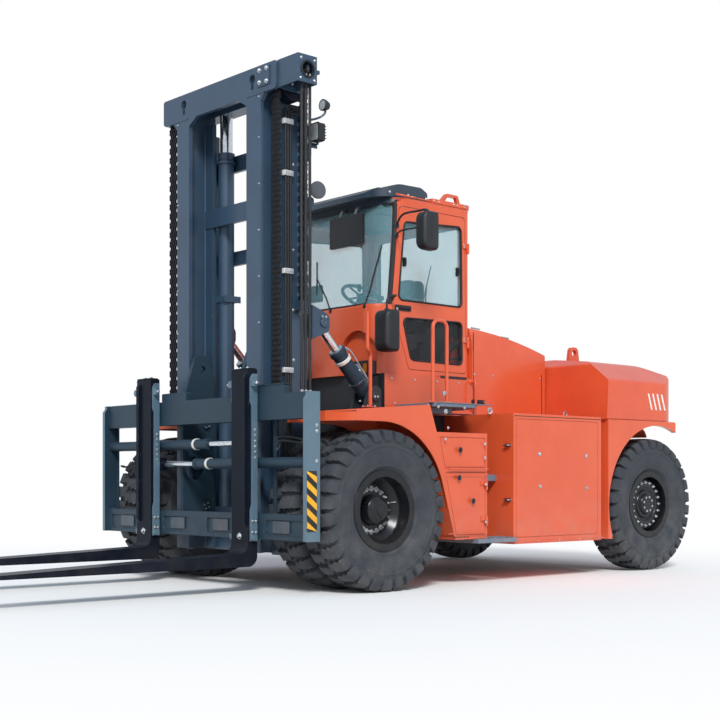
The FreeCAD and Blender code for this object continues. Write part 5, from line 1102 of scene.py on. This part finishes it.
def cushionOf(name, outline, low, high, across, finish):
    # a rounded block of foam under sewn cloth, remeshed evenly so that the cloth can bulge
    slab(across, outline, low, high)
    piece = finishPiece(name, [finish], "chassis")
    soften = piece.modifiers.new("roundness", "BEVEL")
    soften.width = cushionLook["rounding"] * mm
    soften.segments = 4
    soften.limit_method = "ANGLE"
    finer = piece.modifiers.new("evenMesh", "REMESH")
    finer.mode = "VOXEL"
    finer.voxel_size = cushionLook["voxel"] * mm
    evenMesh = bpy.data.meshes.new_from_object(piece.evaluated_get(bpy.context.evaluated_depsgraph_get()))
    piece.modifiers.clear()
    piece.data = evenMesh
    evenMesh.materials.clear()
    evenMesh.materials.append(finish)
    evenMesh.shade_smooth()
    # the piping round the middle and the sewn channels hold the cover down
    depthAxis = "xyz".index(across)
    middle = facing(across, 0, 0, (low + high) / 2)[depthAxis]
    firstAxis = 1 if across == "x" else 0
    corners = [vertex.co for vertex in evenMesh.vertices]
    start = min(co[firstAxis] for co in corners)
    length = max(co[firstAxis] for co in corners) - start
    seam = cushionLook["seam"] * mm
    held = piece.vertex_groups.new(name="held")
    for vertex in evenMesh.vertices:
        share = (vertex.co[firstAxis] - start) / length
        fromChannel = min(abs(share - line) for line in cushionLook["channels"]) * length
        if abs(vertex.co[depthAxis] - middle) < seam or (length > 0.3 and fromChannel < seam):
            held.add([vertex.index], 1.0, "REPLACE")
    return piece


def inflate(pieces):  # the foam pushes the sewn cover outwards between its seams
    covers = []
    for piece in pieces:
        cover = piece.modifiers.new("cover", "CLOTH")
        for name, value in dict(quality=4, mass=0.3, tension_stiffness=12, compression_stiffness=12,
                                use_pressure=True, uniform_pressure_force=cushionLook["pressure"],
                                vertex_group_mass="held").items():
            setattr(cover.settings, name, value)
        cover.settings.effector_weights.gravity = 0
        cover.point_cache.frame_end = cushionLook["frames"]
        covers.append([vertex.co.copy() for vertex in piece.data.vertices])
    for step in range(1, cushionLook["frames"] + 1):
        scene.frame_set(step)
    graph = bpy.context.evaluated_depsgraph_get()
    for piece, before in zip(pieces, covers):
        after = [vertex.co.copy() for vertex in piece.evaluated_get(graph).data.vertices]
        for vertex, old, new in zip(piece.data.vertices, before, after):
            move = new - old
            vertex.co = old + move * min(1.0, cushionLook["most"] * mm / max(move.length, 1e-6))
        piece.modifiers.clear()
        relax = piece.modifiers.new("relax", "SMOOTH")
        relax.factor = 0.5
        relax.iterations = 3
    scene.frame_set(1)


cushions = [
    ("seatCushion", oval((-1435, 0), (228, 172), 60), 2228, 2366, "z", seatCloth),
    ("seatBolsterLeft", oval((-1435, 218), (236, 44), 34), 2236, 2388, "z", seatTrim),
    ("seatBolsterRight", oval((-1435, -218), (236, 44), 34), 2236, 2388, "z", seatTrim),
    ("backCushion", oval((0, 2556), (168, 226), 70), -1772, -1650, "x", seatCloth),
    ("backBolsterLeft", oval((205, 2540), (40, 218), 34), -1776, -1622, "x", seatTrim),
    ("backBolsterRight", oval((-205, 2540), (40, 218), 34), -1776, -1622, "x", seatTrim),
    ("headRest", oval((0, 2884), (128, 78), 48), -1776, -1680, "x", seatCloth),
    ("armPadLeft", oval((-1400, 275), (190, 30), 24), 2508, 2562, "z", seatTrim),
    ("armPadRight", oval((-1400, -275), (190, 30), 24), 2508, 2562, "z", seatTrim),
]
padded = [cushionOf(*cushion) for cushion in cushions]
inflate(padded)

# suspension base, bellows, back shell, arm rest brackets and belt buckles
slab("z", oval((-1450, 0), (200, 195), 20), 1970, 2010)
for fold in range(7):
    turned([(0, 250), (12, 262), (24, 250)], at(-1450, 0, 2008 + 24 * fold), (0, 0, 1), 4, 1,
           spin=math.radians(45))
slab("z", oval((-1440, 0), (222, 230), 40), 2180, 2232)
slab("x", oval((0, 2620), (225, 330), 80), -1792, -1768)
for sign in (1, -1):
    slab("x", oval((sign * 60, 2806), (8, 60), 6), -1745, -1733, 2)
    sideSlab([(-1760, 2420), (-1700, 2400), (-1230, 2498), (-1225, 2514), (-1760, 2516)], 262, 288)
    slab("z", oval((-1640, sign * 262), (20, 14), 6), 2330, 2420, 2)
slab("z", oval((-1400, 0), (150, 235), 30), 2160, 2182, 2)
finishPiece("seatFrame", [blackPlasticAndShade, sealRubberAndGapShade, greyPlastic], "chassis", edge=3,
            stands=["seat"])

# joystick pod on the right arm rest, side console, floor mat, pedals
slab("y", [(-1250, 2562), (-1120, 2562), (-1110, 2600), (-1240, 2612)], -312, -238)
for number, x in enumerate((-1225, -1180, -1135)):
    tube([at(x, -275, 2600), at(x + 6, -275, 2650)], 5, 8, 1)
    turned([(0, 0), (0, 13), (10, 17), (26, 15), (34, 8), (36, 0)], at(x + 6, -275, 2644), (0.1, 0, 1), 18)
slab("z", oval((-1300, -500), (400, 130), 40), 1971, 2280, 2)
slab("z", oval((-1300, -500), (380, 112), 36), 2280, 2292, 0)
for number in range(6):
    slab("z", oval((-1480 + 46 * number, -470), (15, 12), 4), 2292, 2304, 1 if number % 2 else 0)
slab("z", oval((-1250, 30), (330, 380), 40), 1970.5, 1982, 0)
for y, width in ((-150, 62), (10, 40), (150, 52)):
    slab("y", [(-906, 2010), (-900, 2002), (-850, 2140), (-857, 2146)], y - width / 2, y + width / 2, 0)
    for rib in range(4):
        tube([at(-905 + 13 * rib, y - width / 2 + 4, 2022 + 35 * rib),
              at(-905 + 13 * rib, y + width / 2 - 4, 2022 + 35 * rib)], 3, 6, 0)
    tube([at(-868, y, 2090), at(-840, y, 2230)], 9, 8, 1)
finishPiece("controls", [blackPlasticAndShade, zincPlate, greyPlastic], "chassis", edge=2)

# steering wheel: rim with its finger bumps, hub cap, spokes and knob; column stalks
wheelLook = dict(radius=200, grip=17.5, bumps=24, leanDegrees=-28, columnFoot=(-1000, 0, 2470),
                 columnLength=310, knobAngle=2.2)
tilted = math.radians(wheelLook["leanDegrees"])
lean = Vector((math.sin(tilted), 0, math.cos(tilted)))
wheelPlace = at(*wheelLook["columnFoot"]) + lean * wheelLook["columnLength"] * mm


def onWheel(angle, reach=wheelLook["radius"]):
    left = Vector((0, 1, 0))
    return wheelPlace + (left.cross(lean) * math.cos(angle) + left * math.sin(angle)) * reach * mm


tube([onWheel(2 * math.pi * number / 48) for number in range(48)], wheelLook["grip"], 12, 0, True)
for number in range(wheelLook["bumps"]):
    spot = onWheel(2 * math.pi * (number + 0.5) / wheelLook["bumps"]) - lean * 0.017
    turned([(0, 0), (0, 6), (3, 5), (4, 0)], spot, -lean, 8, 0)
turned([(0, 0), (0, 52), (18, 50), (26, 40), (28, 0)], wheelPlace - lean * 0.004, lean, 32, 0)
for angle in (0, 120, 240):
    tube([onWheel(math.radians(angle), 40) + lean * 0.004, onWheel(math.radians(angle), 190)], 9, 8, 1)
knobForm = [(14, 12), (20, 10), (24, 18), (44, 24), (60, 18), (64, 0)]
turned(knobForm, onWheel(wheelLook["knobAngle"]), lean, 20, 0, bare=True)
for sign in (1, -1):
    tube([on(-985, 30, 2560), on(-1010, 150, 2600)], 6, 8, 0)
    turned([(0, 0), (0, 9), (30, 10), (34, 0)], on(-1010, 150, 2600), (-0.2, sign, 0.3), 12, 0)
finishPiece("steeringWheelGrip", [blackPlasticAndShade, zincPlate], "chassis")

# instrument panel on the dash, screen on its arm, black unit under the roof
slab("y", [(-1062, 2430), (-1068, 2545), (-1030, 2600), (-900, 2600), (-880, 2560), (-900, 2430)], -150, 150)
slab("x", oval((0, 2505), (110, 36), 12), -1070, -1066, 1)
for y in (-70, 0, 70):
    turned([(0, 24), (3, 26), (5, 22)], at(-1069, y, 2508), (-1, 0, 0), 24, 2)
slab("x", oval((-420, 2790), (118, 82), 14), -905, -880, 0)
slab("x", oval((-420, 2790), (106, 70), 8), -908, -905, 1)
tube([at(-880, -420, 2790), at(-840, -470, 2700), at(-800, -560, 2596)], 9, 8, 2)
block((-830, -68, 3180), (-790, 398, 3470), 0)
slab("x", oval((165, 3325), (200, 120), 20), -836, -830, 0)
for number in range(5):
    slab("x", oval((165, 3240 + 40 * number), (170, 6), 5), -840, -836, 2)
for y in (60, 280):
    tube(eased([at(-810, y, 3470), at(-840, y, 3530), at(-900, y, 3560)], 4), 14, 8, 2)
finishPiece("instruments", [blackPlasticAndShade, lampPane, greyPlastic], "chassis", edge=3)

# moulded linings: lower rear wall, right-hand box, headliner; the black rear wall and right-hand box also
# darken the view through the lower door lights as painted shade
slab("x", oval((0, 2280), (640, 300), 40), -1896, -1878)
for sign in (1, -1):
    slab("x", oval((sign * 300, 2260), (220, 210), 30), -1878, -1868, 1)
slab("y", [(-1870, 1975), (-1160, 1975), (-1120, 2080), (-1150, 2420), (-1400, 2500), (-1870, 2500)], -660,
     -560)
slab("y", oval((-1560, 2250), (260, 160), 30), -562, -550, 1)
slab("z", oval((-1420, 0), (440, 600), 80), 3520, 3546)
slab("z", oval((-1420, 0), (300, 300), 60), 3508, 3522, 1)
finishPiece("cabLiningsAndShadePanels", [blackPlasticAndShade, greyPlastic], "chassis", edge=4)

# fire extinguisher with its strap and hose, and the heater duct, behind the left door
bottle = [(0, 52), (8, 56), (300, 56), (330, 44), (350, 24), (362, 22), (380, 22)]
turned(bottle, at(-1842, 560, 1975), (0, 0, 1), 28)
turned([(0, 56), (0, 60), (26, 60), (26, 56)], at(-1842, 560, 2120), (0, 0, 1), 28, 1, closed=True)
block((-1862, 552, 2352), (-1800, 568, 2372), 1)
tube(eased([at(-1842, 560, 2352), at(-1810, 575, 2360), at(-1786, 585, 2300), at(-1784, 580, 2180),
            at(-1792, 572, 2060)], 6), 9, 8, 1)
tube(eased([at(-1700, 560, 1972), at(-1700, 560, 2120), at(-1760, 600, 2230), at(-1860, 630, 2300),
            at(-1900, 640, 2400), at(-1905, 645, 2560)], 8), 34, 14, 1)
for ring in range(9):
    turned([(0, 34), (0, 38), (5, 38), (5, 34)], at(-1700, 560, 1980 + 16 * ring), (0, 0, 1), 20,
           1, closed=True)
finishPiece("cabEquipment", [redEnamel, blackPlasticAndShade], "chassis")
print("cab inside: furnished")


# body sides: cabinets, battery boxes, their latches, bolts and grips

cabinetSide, boxSide, hoodSide = 1574, 1550, 749  # how far out those faces stand
latchForm = [(0, 0), (0, 24), (3, 25), (6, 22), (6, 16), (3, 14), (3, 0)]
# punched teeth: form, height, first x, rows, their pitch, first y, columns, their pitch
platformTooth = [(0, 15), (0, 17), (5, 13), (6, 9), (2, 7), (0, 7)]
stepTooth = [(0, 13), (0, 15), (5, 11), (6, 8), (2, 6), (0, 6)]
treadRows = ((platformTooth, 1640, -1600, 9, 82, 795, 9, 56), (stepTooth, 410, -1630, 5, 120, 1340, 8, 30),
             (stepTooth, 985, -1636, 4, 112, 1085, 8, 30))


def latch(x, z):  # a recessed quarter-turn lock in a round cup
    turned(latchForm, on(x, cabinetSide, z), (0, sign, 0), 28, 1, bare=True)
    sideSlab(oval((x, z), (4, 13), 3), cabinetSide + 3, cabinetSide + 9, 1)


for side, sign in sides:
    outward = (0, sign, 0)
    sideBolts([(x, cabinetSide, z) for x, z in ((-1229, 1265), (-1229, 1139), (-720, 1300))], 17)
    latch(-911, 1207)
    # piano hinge between the flap above and the side panel
    tube([on(-1270, cabinetSide + 2, 1040), on(-770, cabinetSide + 2, 1040)], 7, 8, 2)
    # vent slots low on the panel
    for number in range(5):
        sideSlab(oval((-1010 + 40 * number, 431), (13, 5), 5), cabinetSide - 0.5, cabinetSide + 1.5, 1)
    finishPiece("cabinetHardware" + side.title(), [zincPlate, blackPlasticAndShade, orangeEnamel],
                "chassis")
    for x, z in ((-898, 960), (-1078, 752)):
        latch(x, z)
    sideBolts([(-1242, cabinetSide, z) for z in (560, 900)], 17)
    for z in (462, 990):  # folded rims of the door
        sideSlab([(-1270, z), (-763, z), (-763, z + 8), (-1270, z + 8)], cabinetSide - 0.5,
                 cabinetSide + 2, 2)
    finishPiece("cabinetDoorHardware" + side.title(), [zincPlate, blackPlasticAndShade, orangeEnamel],
                "cabinet_door_" + side, edge=0.8)

    sideBolts([(x, boxSide, z) for x, z in ((-2010, 1184), (-2706, 1173), (-2017, 878), (-2714, 860))], 24)
    # lids of the battery boxes: a black strip as painted shade of the gap under the top plate, edge strips,
    # hand grips
    for z in (1262, 756):
        slab("x", oval((sign * 1480, z), (34, 13), 9), -1652, -1632, 1)
        tube(eased([on(-1650, 1448, z), on(-1618, 1450, z), on(-1612, 1462, z), on(-1612, 1500, z),
                    on(-1618, 1512, z), on(-1650, 1514, z)], 4), 6, 8, 0)
    # black strip: painted shade of the gap under the top plate
    sideSlab([(-2994, 1532), (-1651, 1532), (-1651, 1538), (-2994, 1538)], boxSide - 0.5, boxSide + 1.5, 2)
    sideSlab([(-2994, 360), (-1651, 360), (-1651, 372), (-2994, 372)], boxSide - 0.5, boxSide + 2, 3)
    for x in (-2900, -2600, -2300, -2000, -1750):
        bolt(on(x, boxSide + 2, 366), outward, 12, 0, False)
        turned([(0, 9), (3, 8)], on(x, 1400, 1560), (0, 0, 1), 12, 0)
    for x in (-2880, -1760):  # lifting eyes screwed in the lid
        turned([(0, 26), (8, 26), (12, 18), (20, 14)], on(x, 1150, 1560), (0, 0, 1), 20, 0)
        ring = [at(x + 26 * math.cos(2 * math.pi * i / 20), sign * 1150,
                   1600 + 26 * math.sin(2 * math.pi * i / 20)) for i in range(20)]
        tube(ring, 7, 8, 0, True)
    finishPiece("boxHardwareAndGapShade" + side.title(), [zincPlate, blackPlasticAndShade, sealRubberAndGapShade, orangeEnamel], "chassis")

    # bolts of the fenders
    bolt(on(-780, 1549, 1400), outward, 15)
    for x in (-600, -200, 200):
        bolt(on(x, 1480, 1597), (0, 0, 1), 15)
    for x in (-4120, -3900, -3650, -3300):
        bolt(on(x, 1490, 1545), (0, 0, 1), 15)
    finishPiece("fenderBolts" + side.title(), [zincPlate], "chassis")

    # treads on every step, with the platform's bolts and edge strip
    for form, height, x, rows, stepX, y, columns, stepY in treadRows:
        for row in range(rows):
            for column in range(columns):
                spot = on(x + stepX * row, y + stepY * column, height)
                turned(form, spot, (0, 0, 1), 10, bare=True)
    for x, y, z in ((-1032, 1252, 1729), (-994, 1308, 1560)):
        turned([(0, 24), (8, 24), (12, 18)], on(x, y, z), outward, 20, 1)
    sideBolts([(x, 1300, 1600) for x in (-1600, -1250, -910)], 18, 1)
    tube([on(-1620, 1302, 1640), on(-890, 1302, 1640)], 5, 8, 0)
    finishPiece("stepTreads" + side.title(), [stepEnamel, zincPlate], "chassis")

    # feet of the rails: flanges with two screws each
    for x in (-1090, -890):
        slab("z", oval((x, sign * 1240), (34, 24), 12), 1640, 1648)
        for reach in (-22, 22):
            bolt(on(x + reach, 1240, 1648), (0, 0, 1), 13, 1, False)
    for z in (1640, 1900):
        turned([(0, 26), (6, 26), (9, 20)], on(-1915, 750, z), outward, 20, 0)
    slab("z", oval((-465, sign * 860), (58, 46), 14), 1597, 1606)
    for x, y in ((-44, -32), (44, -32), (-44, 32), (44, 32)):
        bolt(on(x - 465, 860 + y, 1606), (0, 0, 1), 14, 1, False)
    finishPiece("railFeet" + side.title(), [orangeEnamel, zincPlate], "chassis", edge=1)
print("body sides: dressed")


# hood, counterweight and the rear end

for sign in (1, -1):
    # grip plate low on the hood's side
    sideSlab(oval((-2020, 1710), (94, 20), 12), hoodSide + 0.5, hoodSide + 8, 1)
    sideSlab(oval((-2020, 1706), (74, 9), 8), hoodSide + 8, hoodSide + 15, 1)
    bolt(on(-2098, hoodSide + 8, 1710), (0, sign, 0), 12, 0, False)
    # black strip under the cab: painted shadow of the gap there
    sideSlab([(-1493, 1918), (-1856, 1918), (-1856, 1944), (-1493, 1944)], hoodSide, hoodSide + 3, 1)
    # black strip as painted shadow in the gap between the hood and the counterweight, and the screws of the
    # hood's frame
    sideSlab([(-2996, 1575), (-2984, 1575), (-2978, 2030), (-2988, 2030)], hoodSide, hoodSide + 2, 1)
    for x in (-2960, -2240, -1970):
        sideBolts([(x, hoodSide + 1, z) for z in (1590, 1980)], 13)
    # black strip behind the cab: painted shadow of the gap between the cab and the hood
    sideSlab([(-1961, 1566), (-1952, 1566), (-1952, 2395), (-1961, 2395)], hoodSide - 1, hoodSide + 2, 1)
    for x, z in ((-2050, 2440), (-2480, 2380)):  # hinge straps on the hood's top edge
        tube([on(x - 60, 690, z), on(x + 60, 690, z + 6)], 8, 8, 0)
finishPiece("hoodHardwareAndGapShade", [zincPlate, blackPlasticAndShade, orangeEnamel], "chassis", edge=0.8)

for sign in (1, -1):
    for number in range(4):  # slanted bars on the counterweight's shoulder
        x = -3742 - 76 * number
        sideSlab([(x, 1828), (x + 26, 1828), (x - 34, 1662), (x - 60, 1662)], 1544, 1551.5, 0)
    # rear lamps in their round cups
    for y, finish in ((1320, 1), (1195, 2), (1070, 3)):
        place, outward = at(-4557 + (y - 930) * 0.661, sign * y, 1640), (-0.834, sign * 0.552, 0)
        turned([(0, 0), (0, 52), (6, 56), (16, 56), (20, 50), (20, 46), (8, 44)], place, outward,
               36, 4, bare=True)
        turned([(6, 45), (14, 44), (22, 34), (26, 0)], place, outward, 36, finish, bare=True)
    # plugs over the anchor bolts
    for y, z in ((420, 1400), (420, 1000)):
        turned([(0, 58), (4, 60), (7, 52), (7, 34), (3, 30)], on(-4639, y, z), (-1, 0, 0), 32, 5)
        bolt(on(-4642, y, z), (-1, 0, 0), 22, 6)
slab("x", oval((0, 1560), (330, 70), 20), -4643, -4638, 4)  # vent
for number in range(7):
    slab("x", oval((0, 1512 + 16 * number), (300, 3.5), 3), -4647, -4642, 4)
finishPiece("counterweightFittings",
            [whiteEnamel, redLens, amberLens, lampPane, blackPlasticAndShade, castEnamel, zincPlate], "chassis")

# brake and steering lines under the truck, with their clips
for sign in (1, -1):
    for number, y in enumerate((300, 340, 380)):
        line = ((-3650, y, 560), (-3200, y + 60, 520), (-2400, y + 60, 505),
                (-1500, y + 40, 520 + 12 * number), (-900, y, 620 + 20 * number), (-400, y - 40, 800))
        tube(eased([on(x, y, z) for x, y, z in line]), 13, 8)
    tube(eased([on(-600, 560, 860), on(-300, 600, 900), on(-80, 640, 840), on(0, 640, 760)], 6), 10, 8, 0)
    for x in (-3000, -2200, -1500):
        slab("x", oval((sign * 400, 510), (80, 20), 6), x - 14, x + 14, 1)
finishPiece("chassisLines", [hoseRubber, zincPlate], "chassis")

for sign in (1, -1):  # mudguards behind the steered wheels, under the weight's slanted corner
    outline = [(-4210, 1540), (-4290, 1506), (-4350, 1462), (-4384, 1400), (-4376, 1398), (-4342, 1458),
               (-4284, 1499), (-4206, 1532)]
    sideSlab(outline, 410, 1060)
    slab("x", oval((sign * 735, 1500), (310, 44), 6), -4290, -4284)
finishPiece("rearMudguards", [orangeEnamel], "chassis", edge=1.5)
print("hood and rear: dressed")


# camera, light, floor

cameraLook = dict(place=(7468.8, 9605.8, 959.0), lens=65.33, riseShare=0.1637, heading=228.18)
eye = bpy.data.cameras.new("camera")
eye.lens = cameraLook["lens"]
eye.sensor_width = 36
eye.shift_y = cameraLook["riseShare"]
eye.clip_end = 200
camera = bpy.data.objects.new("camera", eye)
camera.location = at(*cameraLook["place"])
camera.rotation_euler = (math.radians(90), 0, math.radians(cameraLook["heading"] - 90))
scene.collection.objects.link(camera)
scene.camera = camera

lightLook = dict(key=2.85, keySpread=14, keyFrom=(0.74, 0.88, 0.95), fill=0.55, mirrored=0.9, backdrop=1.0)
key = bpy.data.lights.new("key", "SUN")
key.energy = lightLook["key"]
key.angle = math.radians(lightLook["keySpread"])
keyLight = bpy.data.objects.new("key", key)
keyLight.rotation_euler = Vector(lightLook["keyFrom"]).to_track_quat("Z", "Y").to_euler()
scene.collection.objects.link(keyLight)

world = bpy.data.worlds.new("studio")
scene.world = world
world.use_nodes = True
sky = world.node_tree
sky.nodes.clear()
direction = addNode(sky, "TexCoord", {}, give=0)
upward = addNode(sky, "SeparateXYZ", {0: direction}, give=2)
height = addNode(sky, "MapRange", {0: upward, 1: 0.0, 2: 0.7, 3: 0.0, 4: 1.0})
tint = addNode(sky, "Mix", {0: height, 6: "#ffffff", 7: "#c9dcf2"}, give=2, data_type="RGBA")
fill = addNode(sky, "Background", {"Color": tint, "Strength": lightLook["fill"]})
plain = addNode(sky, "Background", {"Color": "#ffffff", "Strength": lightLook["backdrop"]})
rays = sky.nodes.new("ShaderNodeLightPath")
glossy = addNode(sky, "Math", {0: rays.outputs["Is Glossy Ray"], 1: rays.outputs["Is Transmission Ray"]},
                 operation="MAXIMUM")
mirrored = addNode(sky, "Background", {"Color": tint, "Strength": lightLook["mirrored"]})
seen = addNode(sky, "MixShader", {0: glossy, 1: fill, 2: mirrored})
seen = addNode(sky, "MixShader", {0: rays.outputs["Is Camera Ray"], 1: seen, 2: plain})
output = sky.nodes.new("ShaderNodeOutputWorld")
sky.links.new(seen, output.inputs["Surface"])

floorRings = [(0, 0), (0, 3000), (0, 6000), (0, 12000), (0, 60000)]
turned(floorRings, at(-652, 0, -1), (0, 0, 1), 96, bare=True)
floorMesh = bpy.data.meshes.new("floor")
shape.to_mesh(floorMesh)
floor = bpy.data.objects.new("floor", floorMesh)
scene.collection.objects.link(floor)
floorPaint, tree, shader = newFinish("pale floor")
place = addNode(tree, "TexCoord", {}, give=3)
far = addNode(tree, "VectorMath", {0: place}, give=1, operation="LENGTH")
fade = addNode(tree, "MapRange", {0: far, 1: 3.2, 2: 8.0, 3: 0.0, 4: 1.0})
shader.inputs["Base Color"].default_value = toLinear("#fbfaf7")
shader.inputs["Roughness"].default_value = 0.8
shine = addNode(tree, "Emission", {"Color": "#ffffff", "Strength": 1.0})
path = tree.nodes.new("ShaderNodeLightPath")
shown = addNode(tree, "Math", {0: path.outputs["Is Camera Ray"], 1: fade}, operation="MULTIPLY")
surface = addNode(tree, "MixShader", {0: shown, 1: shader.outputs[0], 2: shine})
tree.links.new(surface, tree.nodes["Material Output"].inputs["Surface"])
floorMesh.materials.append(floorPaint)
scene.view_settings.view_transform = "Standard"
print("camera, light and floor: made")
